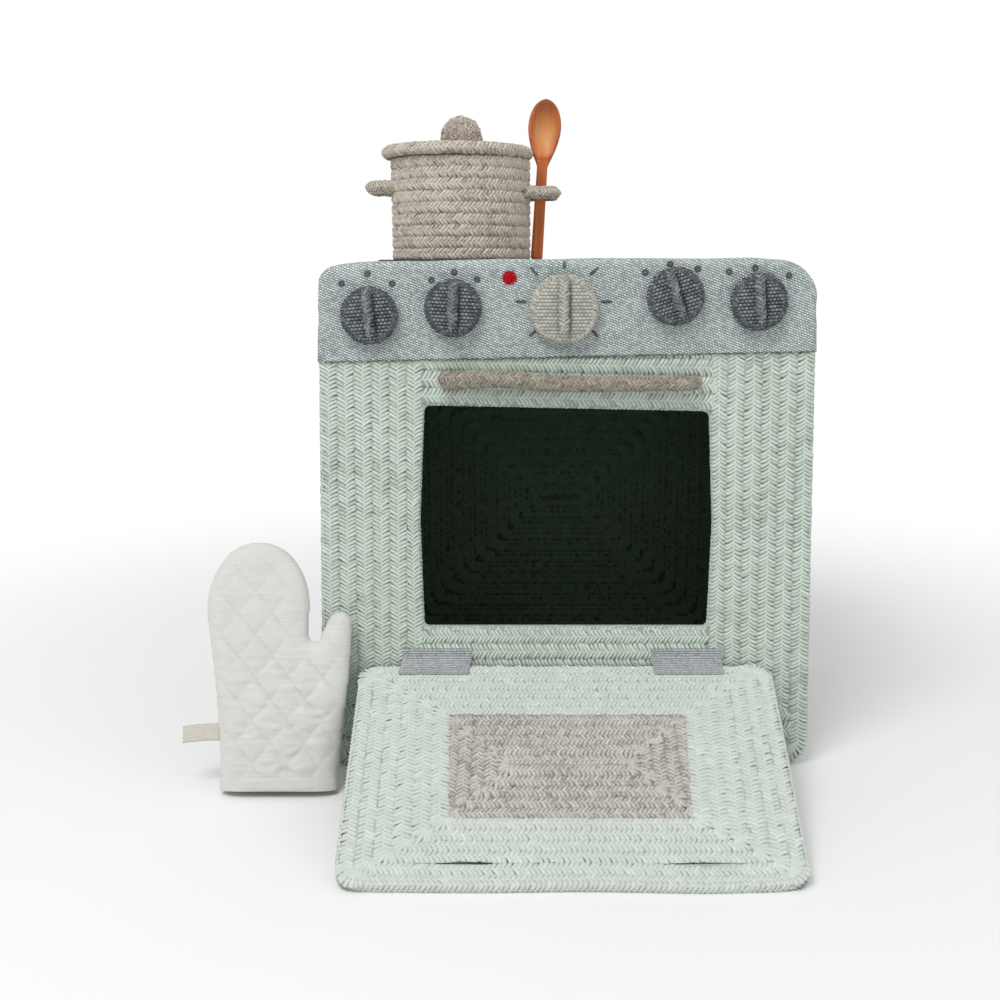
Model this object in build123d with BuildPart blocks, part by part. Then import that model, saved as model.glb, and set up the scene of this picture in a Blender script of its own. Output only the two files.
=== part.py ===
from build123d import *
import os
from math import asin, atan2, cos, degrees, hypot, radians, sin, sqrt

# Soft toy kitchen of sewn rope, in millimetres.
# The origin is the middle of the cabinet's footprint on the floor, +Z is up and the oven faces -Y.

# Cabinet: a soft box that is a little wider at the floor than at the cooktop
CABINET_HEIGHT = 436.0
CABINET_DEPTH = 300.0
WIDTH_AT_FLOOR = 428.0
WIDTH_AT_TOP = 404.0
FLOOR_CORNER_RADIUS = 24.0
TOP_CORNER_RADIUS = 26.0
WALL_SPLIT = 170.0

# Sewn rope: a wall is one rope thick, and a V groove parts each row from the next
ROPE_WALL = 9.0
ROPE_PITCH = 14.4
GROOVE_WIDTH = 6.0
GROOVE_DEPTH = 2.6
LINING = 3.0
OVEN_BACK = 5.0
OVEN_ROPE_PITCH = 12.5
OVEN_GROOVE_WIDTH = 4.0
OVEN_GROOVE_DEPTH = 1.8
OVEN_COIL_HEIGHT = 185.0
OVEN_COIL_CORE = 20.0
OVEN_COIL_ROWS = 14
PANEL_EDGE_ROUND = 4.0

# Oven mouth, bowed out at its sides
MOUTH_BOTTOM = 128.0
MOUTH_TOP = 316.0
MOUTH_TOP_WIDTH = 238.0
MOUTH_MIDDLE_WIDTH = 249.0
MOUTH_BOTTOM_WIDTH = 245.0
MOUTH_CORNER_RADIUS = 2.5
MOUTH_LEFT_RISE = 5.0
MOUTH_ROWS = 6

# Woven cloth cover over the top of the cabinet, with the control band at its front
CLOTH = 2.0
BAND_BOTTOM = 361.0
BURNER_RADIUS = 75.0
BURNER_THICKNESS = 2.0
BURNER_EDGE = 0.8
BURNER_X = 98.0

# Rope pull above the oven mouth
PULL_RADIUS = 6.5
PULL_STANDOFF = 14.0
PULL_BEND = 9.0
PULL_LEFT_X = -98.5
PULL_LEFT_Z = 342.5
PULL_RIGHT_X = 104.5
PULL_RIGHT_Z = 340.5

# Oven door, lying open with its free edge on the floor
HINGE_HEIGHT = 101.0
HINGE_STANDOFF = 1.6
DOOR_GAP = 6.0
DOOR_LENGTH = 224.0
DOOR_HINGE_WIDTH = 343.0
DOOR_FREE_WIDTH = 333.0
DOOR_HINGE_CORNER = 8.0
DOOR_FREE_CORNER = 20.0
DOOR_EDGE_ROUND = 3.6
DOOR_ROWS = 6
DOOR_GROOVE_WIDTH = 4.8
DOOR_GROOVE_DEPTH = 2.0
WINDOW_WIDTH = 196.0
WINDOW_LENGTH = 106.0
WINDOW_THICKNESS = 7.0
WINDOW_ROWS = 5
DOOR_SLOT_LENGTH = 222.0
DOOR_SLOT_WIDTH = 7.0
DOOR_SLOT_ROW = 2
FLOOR_CLEARANCE = 0.2

# Ribbed tape hinges of the door
STRAP_WIDTH = 60.0
STRAP_THICKNESS = 1.2
STRAP_LEFT_X = -112.0
STRAP_RIGHT_X = 105.0
STRAP_ON_CABINET = 7.0
STRAP_ON_DOOR = 19.0
STRAP_FOLD_RADIUS = 0.9
STRAP_FOLD_GAP = 0.6

# Knobs: name, x, z, radius and turn of the grip in degrees
BURNER_KNOB_RADIUS = 23.5
OVEN_KNOB_RADIUS = 28.5
KNOBS = [
    ("burner_knob_1", -161.0, 395.0, BURNER_KNOB_RADIUS, 5.0),
    ("burner_knob_2", -93.0, 401.0, BURNER_KNOB_RADIUS, -3.0),
    ("oven_knob", -3.0, 400.0, OVEN_KNOB_RADIUS, 0.0),
    ("burner_knob_3", 87.3, 410.3, BURNER_KNOB_RADIUS, 18.0),
    ("burner_knob_4", 155.0, 406.0, BURNER_KNOB_RADIUS, 4.0),
]
KNOB_THICKNESS = 10.0
KNOB_EDGE = 3.0
KNOB_GAP = 0.4
GRIP_WIDTH = 9.0
GRIP_HEIGHT = 8.0
GRIP_MARGIN = 3.0
GRIP_EDGE = 2.5
PIVOT_FLANGE_RADIUS = 9.0
PIVOT_FLANGE = 1.0
PIVOT_RADIUS = 4.0
PIVOT_LENGTH = 5.0
PIVOT_CLEARANCE = 0.4

# Embroidered marks: three rings over each burner knob, ticks round the oven knob, one red light
MARK_THICKNESS = 0.8
RING_OUTER_RADIUS = 2.4
RING_INNER_RADIUS = 1.1
RING_OFFSETS = {
    "burner_knob_1": [(-22.5, 25.5), (-1.3, 33.5), (18.5, 25.5)],
    "burner_knob_2": [(-17.5, 22.2), (1.1, 28.7), (19.6, 22.8)],
    "burner_knob_3": [(-24.6, 19.3), (-4.6, 25.2), (18.0, 22.0)],
    "burner_knob_4": [(-24.4, 24.1), (-3.4, 27.1), (24.2, 21.1)],
}
TICK_LENGTH = 6.0
TICK_WIDTH = 1.6
TICK_RISE = 6.0
TICK_STEP = 45.0
TICK_DISTANCES = [34.5, 34.0, 33.5, 28.5, 33.5, 34.0, 34.5]
LIGHT_X = -47.7
LIGHT_Z = 425.0
LIGHT_RADIUS = 5.2
LIGHT_HEIGHT = 2.0
LIGHT_EDGE = 1.2

# Pot, lid and spoon
POT_X = -95.0
POT_Y = 0.0
POT_RADIUS = 63.5
POT_ROWS = 9
POT_PITCH = 10.0
POT_WALL = 9.0
POT_FLOOR = 10.0
POT_LOOP_RADIUS = 5.5
POT_LOOP_HALF_SPAN = 21.0
POT_LOOP_BEND = 12.0
POT_LOOPS = [
    ("left", 180.0, 81.0, 64.5),
    ("right", 0.0, 86.0, 60.0),
]
LID_OFFSET = -2.7
LID_RADIUS = 69.0
LID_THICKNESS = 10.0
LID_EDGE = 4.6
LID_ROWS = 6
LID_GAP = 0.3
BALL_RADIUS = 18.3
BALL_RISE = 9.5
BALL_OFFSET = 3.5
SPOON_X = -25.0
SPOON_Y = 6.0
SPOON_TILT = 3.6
SPOON_GAP = 0.3
SPOON_LENGTH = 144.0
SPOON_BOWL_WIDTH = 30.4
SPOON_BOWL_LENGTH = 53.0
SPOON_BOWL_THICKNESS = 10.0
SPOON_BOWL_DEPTH = 6.0
SPOON_BOWL_RIM = 1.8
SPOON_BACK_SLOPE_HEIGHT = 5.5
SPOON_BACK_SLOPE_WIDTH = 6.7
SPOON_NECK_WIDTH = 9.6
SPOON_FOOT_WIDTH = 11.2
SPOON_STEM_THICKNESS = 6.0
SPOON_STEM_EDGE = 2.0
SPOON_NECK_OVERLAP = 8.0

# Quilted mitt, leaning back on the left edge of the cabinet
MITT_BESIDE = 27.7
MITT_AHEAD = 53.8
MITT_LEAN = 16.5
MITT_LAYER = 5.0
MITT_HOLLOW = 13.0
MITT_SEAM = 6.0
MITT_HEM = 8.5
MITT_CUFF_WIDTH = 97.0
WRIST_LEFT = (-52.5, 60.0)
FINGER_LEFT = (-62.5, 138.0)
FINGER_LEFT_TURN = (-58.5, 179.0)
FINGER_TOP_LEFT = (-45.0, 199.5)
FINGER_TIP = (-20.5, 208.0)
FINGER_TOP_RIGHT = (4.0, 199.5)
FINGER_RIGHT_TURN = (18.5, 179.0)
FINGER_RIGHT = (23.5, 148.0)
CROTCH_LEFT = (23.5, 130.0)
CROTCH_BOTTOM = (28.0, 124.0)
CROTCH_RIGHT = (33.0, 129.5)
THUMB_LEFT = (40.4, 143.7)
THUMB_TIP = (51.3, 148.8)
THUMB_RIGHT = (60.0, 138.0)
WRIST_RIGHT = (56.8, 83.0)
MITT_LOOP_LENGTH = 29.0
MITT_LOOP_WIDTH = 14.0
MITT_LOOP_THICKNESS = 3.0
MITT_LOOP_HEIGHT = 48.0
MITT_LOOP_X = -81.5

# Places worked out from the driving dimensions
FRONT_Y = -CABINET_DEPTH / 2
BACK_Y = CABINET_DEPTH / 2
TUBE_DEPTH = CABINET_DEPTH - 2 * ROPE_WALL
CLOTH_TOP = CABINET_HEIGHT + CLOTH
POT_BASE = CLOTH_TOP + BURNER_THICKNESS
POT_HEIGHT = POT_ROWS * POT_PITCH
BAND_FRONT = FRONT_Y - CLOTH
KNOB_BACK = BAND_FRONT - PIVOT_FLANGE - KNOB_GAP
DOOR_END = DOOR_GAP + DOOR_LENGTH
DOOR_MIDDLE = DOOR_GAP + DOOR_LENGTH / 2
DOOR_ROW_X = (DOOR_HINGE_WIDTH - WINDOW_WIDTH) / 2 / DOOR_ROWS
DOOR_ROW_Y = (DOOR_LENGTH - WINDOW_LENGTH) / 2 / DOOR_ROWS
MITT_THICKNESS = 2 * MITT_LAYER + MITT_HOLLOW
MITT_X = -WIDTH_AT_FLOOR / 2 - MITT_BESIDE
MITT_Y = FRONT_Y - MITT_AHEAD

# The open door slopes until its rounded free edge meets the floor
EDGE_REACH = DOOR_END - ROPE_WALL / 2
EDGE_DROP = HINGE_STANDOFF + ROPE_WALL / 2
EDGE_FALL = HINGE_HEIGHT - ROPE_WALL / 2 - FLOOR_CLEARANCE
DOOR_SLOPE = asin(EDGE_FALL / hypot(EDGE_REACH, EDGE_DROP)) - atan2(EDGE_DROP, EDGE_REACH)

FRONT = Plane.XZ.offset(-FRONT_Y)
BACK = Plane(origin=(0, BACK_Y, 0), x_dir=(-1, 0, 0), z_dir=(0, 1, 0))
BAND = Plane.XZ.offset(-BAND_FRONT)
# On the door's plane the door runs from the hinge towards local -Y, and +Z is the side that faces the oven
DOOR = Plane(
    origin=(0, FRONT_Y - HINGE_STANDOFF, HINGE_HEIGHT),
    x_dir=(1, 0, 0),
    z_dir=(0, -sin(DOOR_SLOPE), cos(DOOR_SLOPE)),
)
DOOR_INSIDE = DOOR.offset(-HINGE_STANDOFF)
DOOR_OUTSIDE = Plane(DOOR_INSIDE.origin - DOOR.z_dir * ROPE_WALL, x_dir=(-1, 0, 0), z_dir=-DOOR.z_dir)
# On the mitt's plane +Y runs up from the cuff and +Z faces forward
MITT_LIFT = MITT_THICKNESS / 2 * sin(radians(MITT_LEAN)) + FLOOR_CLEARANCE
MITT = Plane(
    origin=(MITT_X, MITT_Y, MITT_LIFT),
    x_dir=(1, 0, 0),
    z_dir=(0, -cos(radians(MITT_LEAN)), sin(radians(MITT_LEAN))),
)
SPOON = Plane(
    origin=(SPOON_X, SPOON_Y, POT_BASE + SPOON_GAP),
    x_dir=(cos(radians(SPOON_TILT)), 0, -sin(radians(SPOON_TILT))),
    z_dir=(0, -1, 0),
)
POT_SECTION = Plane(origin=(POT_X, POT_Y, POT_BASE), x_dir=(1, 0, 0), z_dir=(0, -1, 0))
LID_SECTION = Plane(
    origin=(POT_X + LID_OFFSET, POT_Y, POT_BASE + POT_HEIGHT + LID_GAP),
    x_dir=(1, 0, 0),
    z_dir=(0, -1, 0),
)

os.makedirs("parts", exist_ok=True)


def save(piece, name):
    """Label a finished piece and write it as one node."""
    piece.part.label = name
    export_step(piece.part, f"parts/{name}.step")


def groove_ring(plane, corners, width=GROOVE_WIDTH, depth=GROOVE_DEPTH):
    """Cut one V groove along the closed outline through corners, on the face that plane lies on."""
    start = ((corners[0][0] + corners[1][0]) / 2, (corners[0][1] + corners[1][1]) / 2)
    with BuildLine(plane, mode=Mode.PRIVATE) as route:
        Polyline(start, *corners[1:], corners[0], close=True)
    along = route.line % 0
    section = Plane(route.line @ 0, x_dir=plane.z_dir.cross(along), z_dir=along)
    with BuildSketch(section, mode=Mode.PRIVATE) as groove:
        Polygon((-width / 2, 0), (width / 2, 0), (0, -depth), align=None)
    sweep(groove.sketch, path=route.line, transition=Transition.RIGHT, mode=Mode.SUBTRACT)


def box_corners(half_low, half_high, low, high, left_rise=0.0):
    """Corners of a trapezium, from its lower left corner round to its upper left one, which may stand higher."""
    return [(-half_low, low), (half_low, low), (half_high, high), (-half_high, high + left_rise)]


# Outlines of the cabinet seen from the front
with BuildSketch() as cabinet_outline:
    with BuildLine():
        Polyline(
            *box_corners(WIDTH_AT_FLOOR / 2, WIDTH_AT_TOP / 2, 0, CABINET_HEIGHT), close=True
        )
    make_face()
    fillet(cabinet_outline.vertices().group_by(Axis.Y)[0], FLOOR_CORNER_RADIUS)
    fillet(cabinet_outline.vertices().group_by(Axis.Y)[-1], TOP_CORNER_RADIUS)

with BuildSketch() as wall_inside:
    add(cabinet_outline.sketch)
    offset(amount=-ROPE_WALL)

with BuildSketch() as lining_inside:
    add(cabinet_outline.sketch)
    offset(amount=-ROPE_WALL - LINING)

with BuildSketch() as cover_outline:
    add(cabinet_outline.sketch)
    offset(amount=CLOTH)

with BuildSketch() as oven_mouth:
    with BuildLine():
        low_left = (-MOUTH_BOTTOM_WIDTH / 2, MOUTH_BOTTOM)
        low_right = (MOUTH_BOTTOM_WIDTH / 2, MOUTH_BOTTOM)
        high_left = (-MOUTH_TOP_WIDTH / 2, MOUTH_TOP + MOUTH_LEFT_RISE)
        high_right = (MOUTH_TOP_WIDTH / 2, MOUTH_TOP)
        mouth_middle = (MOUTH_BOTTOM + MOUTH_TOP) / 2
        Line(low_left, low_right)
        ThreePointArc(low_right, (MOUTH_MIDDLE_WIDTH / 2, mouth_middle), high_right)
        Line(high_right, high_left)
        ThreePointArc(high_left, (-MOUTH_MIDDLE_WIDTH / 2, mouth_middle), low_left)
    make_face()
    fillet(oven_mouth.vertices(), MOUTH_CORNER_RADIUS)

# Front panel: rope rows run round the oven mouth, with straight rows below them
with BuildPart() as front_panel:
    with BuildSketch(FRONT):
        add(cabinet_outline.sketch)
        add(oven_mouth.sketch, mode=Mode.SUBTRACT)
    extrude(amount=-ROPE_WALL)
    fillet(front_panel.edges().group_by(Axis.Y)[0], PANEL_EDGE_ROUND)
    for row in range(1, MOUTH_ROWS):
        reach = row * ROPE_PITCH
        groove_ring(
            FRONT,
            box_corners(
                MOUTH_BOTTOM_WIDTH / 2 + reach,
                MOUTH_TOP_WIDTH / 2 + reach,
                MOUTH_BOTTOM - reach,
                MOUTH_TOP + reach,
                MOUTH_LEFT_RISE,
            ),
        )
    lowest_ring = MOUTH_BOTTOM - (MOUTH_ROWS - 1) * ROPE_PITCH
    straight_rows = int(lowest_ring / ROPE_PITCH)
    for row in range(1, straight_rows + 1):
        row_start = Plane(
            origin=(-WIDTH_AT_FLOOR / 2, FRONT_Y, lowest_ring - row * ROPE_PITCH),
            x_dir=(0, 0, 1),
            z_dir=(1, 0, 0),
        )
        with BuildSketch(row_start):
            Polygon((-GROOVE_WIDTH / 2, 0), (GROOVE_WIDTH / 2, 0), (0, -GROOVE_DEPTH), align=None)
        extrude(amount=WIDTH_AT_FLOOR, mode=Mode.SUBTRACT)
save(front_panel, "front_panel")

# Back panel: one flat coil of rope, wound inward from the outline
with BuildPart() as back_panel:
    with BuildSketch(BACK):
        add(cabinet_outline.sketch)
    extrude(amount=-ROPE_WALL)
    fillet(back_panel.edges().group_by(Axis.Y)[-1], PANEL_EDGE_ROUND)
    back_rows = int(WIDTH_AT_TOP / 2 / ROPE_PITCH)
    for row in range(1, back_rows):
        reach = row * ROPE_PITCH
        groove_ring(
            BACK,
            box_corners(
                WIDTH_AT_FLOOR / 2 - reach, WIDTH_AT_TOP / 2 - reach, reach, CABINET_HEIGHT - reach
            ),
        )
save(back_panel, "back_panel")

# Side walls: upright rope rows, and the rounded corners of the cabinet
with BuildPart() as left_wall:
    with BuildSketch(Plane.XZ.offset(TUBE_DEPTH / 2)):
        add(cabinet_outline.sketch)
        add(wall_inside.sketch, mode=Mode.SUBTRACT)
        with Locations((-WALL_SPLIT, CABINET_HEIGHT / 2)):
            Rectangle(
                WIDTH_AT_FLOOR,
                2 * CABINET_HEIGHT,
                align=(Align.MAX, Align.CENTER),
                mode=Mode.INTERSECT,
            )
    extrude(amount=-TUBE_DEPTH)
    wall_run = Vector((WIDTH_AT_FLOOR - WIDTH_AT_TOP) / 2, 0, CABINET_HEIGHT)
    wall_foot = Plane(origin=(-WIDTH_AT_FLOOR / 2, 0, 0), x_dir=(0, 1, 0), z_dir=wall_run)
    wall_rows = round(TUBE_DEPTH / ROPE_PITCH)
    with BuildSketch(wall_foot):
        with GridLocations(TUBE_DEPTH / wall_rows, 0, wall_rows - 1, 1):
            Polygon((-GROOVE_WIDTH / 2, 0), (GROOVE_WIDTH / 2, 0), (0, -GROOVE_DEPTH), align=None)
    extrude(amount=BAND_BOTTOM, mode=Mode.SUBTRACT)
save(left_wall, "left_wall")

with BuildPart() as right_wall:
    mirror(left_wall.part, about=Plane.YZ)
save(right_wall, "right_wall")

# Base and top panels close the tube between the side walls
with BuildPart() as base_panel:
    with BuildSketch(Plane.XZ.offset(TUBE_DEPTH / 2)):
        with Locations((0, ROPE_WALL / 2)):
            Rectangle(2 * WALL_SPLIT, ROPE_WALL)
    extrude(amount=-TUBE_DEPTH)
save(base_panel, "base_panel")

with BuildPart() as top_panel:
    with BuildSketch(Plane.XZ.offset(TUBE_DEPTH / 2)):
        with Locations((0, CABINET_HEIGHT - ROPE_WALL / 2)):
            Rectangle(2 * WALL_SPLIT, ROPE_WALL)
    extrude(amount=-TUBE_DEPTH)
save(top_panel, "top_panel")

# Dark oven: a lining on the four inner walls and a coiled rope back
with BuildPart() as oven_lining:
    with BuildSketch(Plane.XZ.offset(TUBE_DEPTH / 2)):
        add(wall_inside.sketch)
        add(lining_inside.sketch, mode=Mode.SUBTRACT)
    extrude(amount=-(TUBE_DEPTH - OVEN_BACK))
save(oven_lining, "oven_lining")

OVEN_BACK_FACE = Plane.XZ.offset(-(TUBE_DEPTH / 2 - OVEN_BACK))
with BuildPart() as oven_back:
    with BuildSketch(OVEN_BACK_FACE):
        add(wall_inside.sketch)
    extrude(amount=-OVEN_BACK)
    for row in range(1, OVEN_COIL_ROWS):
        reach = row * OVEN_ROPE_PITCH
        groove_ring(
            OVEN_BACK_FACE,
            box_corners(
                OVEN_COIL_CORE + reach,
                OVEN_COIL_CORE + reach,
                OVEN_COIL_HEIGHT - reach,
                OVEN_COIL_HEIGHT + reach,
            ),
            width=OVEN_GROOVE_WIDTH,
            depth=OVEN_GROOVE_DEPTH,
        )
save(oven_back, "oven_back")

# Woven cover: a band at the front with the controls, a gusset over the top, and a band at the back
with BuildPart() as control_band:
    with BuildSketch(FRONT):
        add(cover_outline.sketch)
        with Locations((0, BAND_BOTTOM)):
            Rectangle(
                2 * WIDTH_AT_FLOOR,
                CABINET_HEIGHT,
                align=(Align.CENTER, Align.MIN),
                mode=Mode.INTERSECT,
            )
    extrude(amount=CLOTH)
save(control_band, "control_band")

with BuildPart() as cover_gusset:
    with BuildSketch(FRONT):
        add(cover_outline.sketch)
        add(cabinet_outline.sketch, mode=Mode.SUBTRACT)
        with Locations((0, BAND_BOTTOM)):
            Rectangle(
                2 * WIDTH_AT_FLOOR,
                CABINET_HEIGHT,
                align=(Align.CENTER, Align.MIN),
                mode=Mode.INTERSECT,
            )
    extrude(amount=-CABINET_DEPTH)
save(cover_gusset, "cover_gusset")

with BuildPart() as rear_band:
    mirror(control_band.part, about=Plane.XZ)
save(rear_band, "rear_band")

# Burner patches on the cooktop
for burner_name, burner_x in (("burner_left", -BURNER_X), ("burner_right", BURNER_X)):
    with BuildPart() as burner:
        with BuildSketch(Plane((burner_x, 0, CLOTH_TOP))):
            Circle(BURNER_RADIUS)
        extrude(amount=BURNER_THICKNESS)
        chamfer(burner.edges().group_by(Axis.Z)[-1], BURNER_EDGE)
    save(burner, burner_name)

# Rope pull, with both ends sewn to the front panel
with BuildPart() as pull_handle:
    bar_y = FRONT_Y - PULL_STANDOFF
    with BuildLine(mode=Mode.PRIVATE) as bar:
        FilletPolyline(
            (PULL_LEFT_X, FRONT_Y, PULL_LEFT_Z),
            (PULL_LEFT_X, bar_y, PULL_LEFT_Z),
            (PULL_RIGHT_X, bar_y, PULL_RIGHT_Z),
            (PULL_RIGHT_X, FRONT_Y, PULL_RIGHT_Z),
            radius=PULL_BEND,
        )
    with BuildSketch(Plane(bar.line @ 0, z_dir=bar.line % 0)):
        Circle(PULL_RADIUS)
    sweep(path=bar.line)
save(pull_handle, "pull_handle")

# Door panel: rope rows round the window, with a long pull slot near the free edge
with BuildSketch() as window_outline:
    with Locations((0, -DOOR_MIDDLE)):
        RectangleRounded(WINDOW_WIDTH, WINDOW_LENGTH, DOOR_HINGE_CORNER / 2)

with BuildPart() as door_panel:
    with BuildSketch(DOOR_INSIDE) as door_outline:
        with BuildLine():
            Polyline(
                *box_corners(DOOR_FREE_WIDTH / 2, DOOR_HINGE_WIDTH / 2, -DOOR_END, -DOOR_GAP),
                close=True,
            )
        make_face()
        free_corners = door_outline.vertices().group_by(Axis.Y)[0]
        fillet(free_corners, DOOR_FREE_CORNER)
        hinge_corners = door_outline.vertices().group_by(Axis.Y)[-1]
        fillet(hinge_corners, DOOR_HINGE_CORNER)
    extrude(amount=-ROPE_WALL)
    fillet(door_panel.edges().filter_by(Axis(DOOR.origin, DOOR.z_dir), reverse=True), DOOR_EDGE_ROUND)
    with BuildSketch(DOOR_INSIDE):
        add(window_outline.sketch)
        slot_y = -DOOR_END + DOOR_SLOT_ROW * DOOR_ROW_Y
        slot_left = (-DOOR_SLOT_LENGTH / 2, slot_y)
        slot_right = (DOOR_SLOT_LENGTH / 2, slot_y)
        with BuildLine():
            ThreePointArc(slot_left, (0, slot_y - DOOR_SLOT_WIDTH / 2), slot_right)
            ThreePointArc(slot_right, (0, slot_y + DOOR_SLOT_WIDTH / 2), slot_left)
        make_face()
    extrude(amount=-ROPE_WALL, mode=Mode.SUBTRACT)
    for face in (DOOR_INSIDE, DOOR_OUTSIDE):
        for row in range(1, DOOR_ROWS):
            groove_ring(
                face,
                box_corners(
                    DOOR_FREE_WIDTH / 2 - row * DOOR_ROW_X,
                    DOOR_HINGE_WIDTH / 2 - row * DOOR_ROW_X,
                    -DOOR_END + row * DOOR_ROW_Y,
                    -DOOR_GAP - row * DOOR_ROW_Y,
                ),
                width=DOOR_GROOVE_WIDTH,
                depth=DOOR_GROOVE_DEPTH,
            )
save(door_panel, "door_panel")

with BuildPart() as door_window:
    window_inside = DOOR_INSIDE.offset(-(ROPE_WALL - WINDOW_THICKNESS) / 2)
    window_outside = DOOR_OUTSIDE.offset(-(ROPE_WALL - WINDOW_THICKNESS) / 2)
    with BuildSketch(window_inside):
        add(window_outline.sketch)
    extrude(amount=-WINDOW_THICKNESS)
    for face in (window_inside, window_outside):
        for row in range(1, WINDOW_ROWS):
            reach = row * WINDOW_LENGTH / 2 / WINDOW_ROWS
            groove_ring(
                face,
                box_corners(
                    WINDOW_WIDTH / 2 - reach,
                    WINDOW_WIDTH / 2 - reach,
                    -DOOR_MIDDLE - WINDOW_LENGTH / 2 + reach,
                    -DOOR_MIDDLE + WINDOW_LENGTH / 2 - reach,
                ),
                width=DOOR_GROOVE_WIDTH,
                depth=DOOR_GROOVE_DEPTH,
            )
save(door_window, "door_window")

# Tape hinges: one half is sewn to the cabinet above the fold, the other to the inside of the door
for side, strap_x in (("left", STRAP_LEFT_X), ("right", STRAP_RIGHT_X)):
    with BuildPart() as cabinet_strap:
        with BuildSketch(FRONT):
            with Locations((strap_x, HINGE_HEIGHT + STRAP_FOLD_RADIUS + STRAP_FOLD_GAP)):
                Rectangle(STRAP_WIDTH, STRAP_ON_CABINET, align=(Align.CENTER, Align.MIN))
        extrude(amount=STRAP_THICKNESS)
    save(cabinet_strap, f"hinge_strap_{side}_cabinet")

    with BuildPart() as door_strap:
        with BuildSketch(DOOR_INSIDE):
            with Locations((strap_x, -STRAP_FOLD_RADIUS / 2)):
                Rectangle(STRAP_WIDTH, STRAP_ON_DOOR, align=(Align.CENTER, Align.MAX))
        extrude(amount=STRAP_THICKNESS)
        fold_end = Plane(
            origin=DOOR.origin + Vector(strap_x - STRAP_WIDTH / 2, 0, 0),
            x_dir=(0, 1, 0),
            z_dir=(1, 0, 0),
        )
        with BuildSketch(fold_end):
            Circle(STRAP_FOLD_RADIUS)
        extrude(amount=STRAP_WIDTH)
    save(door_strap, f"hinge_strap_{side}_door")

# Knob pivots: flanged studs through the control band, one for each knob
with BuildPart() as knob_pivots:
    with BuildSketch(BAND):
        with Locations(*[(x, z) for _, x, z, _, _ in KNOBS]):
            Circle(PIVOT_FLANGE_RADIUS)
    extrude(amount=PIVOT_FLANGE)
    with BuildSketch(BAND.offset(PIVOT_FLANGE)):
        with Locations(*[(x, z) for _, x, z, _, _ in KNOBS]):
            Circle(PIVOT_RADIUS)
    extrude(amount=PIVOT_LENGTH)
save(knob_pivots, "knob_pivots")

# Knobs: a padded disc on its pivot, and a pinched grip across it
for knob_name, knob_x, knob_z, knob_radius, knob_turn in KNOBS:
    knob_back = Plane(origin=(knob_x, KNOB_BACK, knob_z), x_dir=(1, 0, 0), z_dir=(0, -1, 0))
    knob_front = knob_back.offset(KNOB_THICKNESS)
    with BuildPart() as knob:
        with BuildSketch(knob_back):
            Circle(knob_radius)
        extrude(amount=KNOB_THICKNESS)
        rims = knob.edges().filter_by(GeomType.CIRCLE)
        chamfer(rims, KNOB_EDGE)
        with BuildSketch(knob_back):
            Circle(PIVOT_RADIUS + PIVOT_CLEARANCE)
        extrude(amount=PIVOT_LENGTH, mode=Mode.SUBTRACT)
    save(knob, knob_name)

    with BuildPart() as grip:
        with BuildSketch(knob_front):
            SlotOverall(2 * (knob_radius - GRIP_MARGIN - KNOB_EDGE), GRIP_WIDTH, rotation=90 + knob_turn)
        extrude(amount=GRIP_HEIGHT)
        chamfer(grip.edges().group_by(Axis.Y)[0], GRIP_EDGE)
    save(grip, f"{knob_name}_grip")

# Embroidered rings over the burner knobs
with BuildPart() as ring_marks:
    with BuildSketch(BAND):
        for knob_name, knob_x, knob_z, _, _ in KNOBS:
            for ring_x, ring_z in RING_OFFSETS.get(knob_name, []):
                with Locations((knob_x + ring_x, knob_z + ring_z)):
                    Circle(RING_OUTER_RADIUS)
                    Circle(RING_INNER_RADIUS, mode=Mode.SUBTRACT)
    extrude(amount=MARK_THICKNESS)
save(ring_marks, "ring_marks")

# Ticks round the oven knob, with none at the bottom
with BuildPart() as tick_marks:
    _, oven_x, oven_z, _, _ = KNOBS[2]
    with BuildSketch(BAND):
        for tick, distance in enumerate(TICK_DISTANCES):
            angle = -TICK_STEP + tick * TICK_STEP
            place = (
                oven_x + distance * cos(radians(angle)),
                oven_z + TICK_RISE + distance * sin(radians(angle)),
            )
            with Locations(place):
                Rectangle(TICK_LENGTH, TICK_WIDTH, rotation=angle)
    extrude(amount=MARK_THICKNESS)
save(tick_marks, "tick_marks")

with BuildPart() as red_light:
    with BuildSketch(BAND):
        with Locations((LIGHT_X, LIGHT_Z)):
            Circle(LIGHT_RADIUS)
    extrude(amount=LIGHT_HEIGHT)
    chamfer(red_light.edges().group_by(Axis.Y)[0], LIGHT_EDGE)
save(red_light, "red_light")

# Pot: a coil of rope wound up from the floor, with a V groove between rows
with BuildPart() as pot:
    with BuildSketch(POT_SECTION):
        outside = [(POT_RADIUS, 0)]
        for row in range(1, POT_ROWS):
            height = row * POT_PITCH
            outside.append((POT_RADIUS, height - GROOVE_WIDTH / 2))
            outside.append((POT_RADIUS - GROOVE_DEPTH, height))
            outside.append((POT_RADIUS, height + GROOVE_WIDTH / 2))
        outside.append((POT_RADIUS, POT_HEIGHT))
        with BuildLine():
            Polyline(
                (0, 0),
                *outside,
                (POT_RADIUS - POT_WALL, POT_HEIGHT),
                (POT_RADIUS - POT_WALL, POT_FLOOR),
                (0, POT_FLOOR),
                close=True,
            )
        make_face()
    revolve(axis=Axis((POT_X, POT_Y, 0), (0, 0, 1)))
save(pot, "pot")

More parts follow.
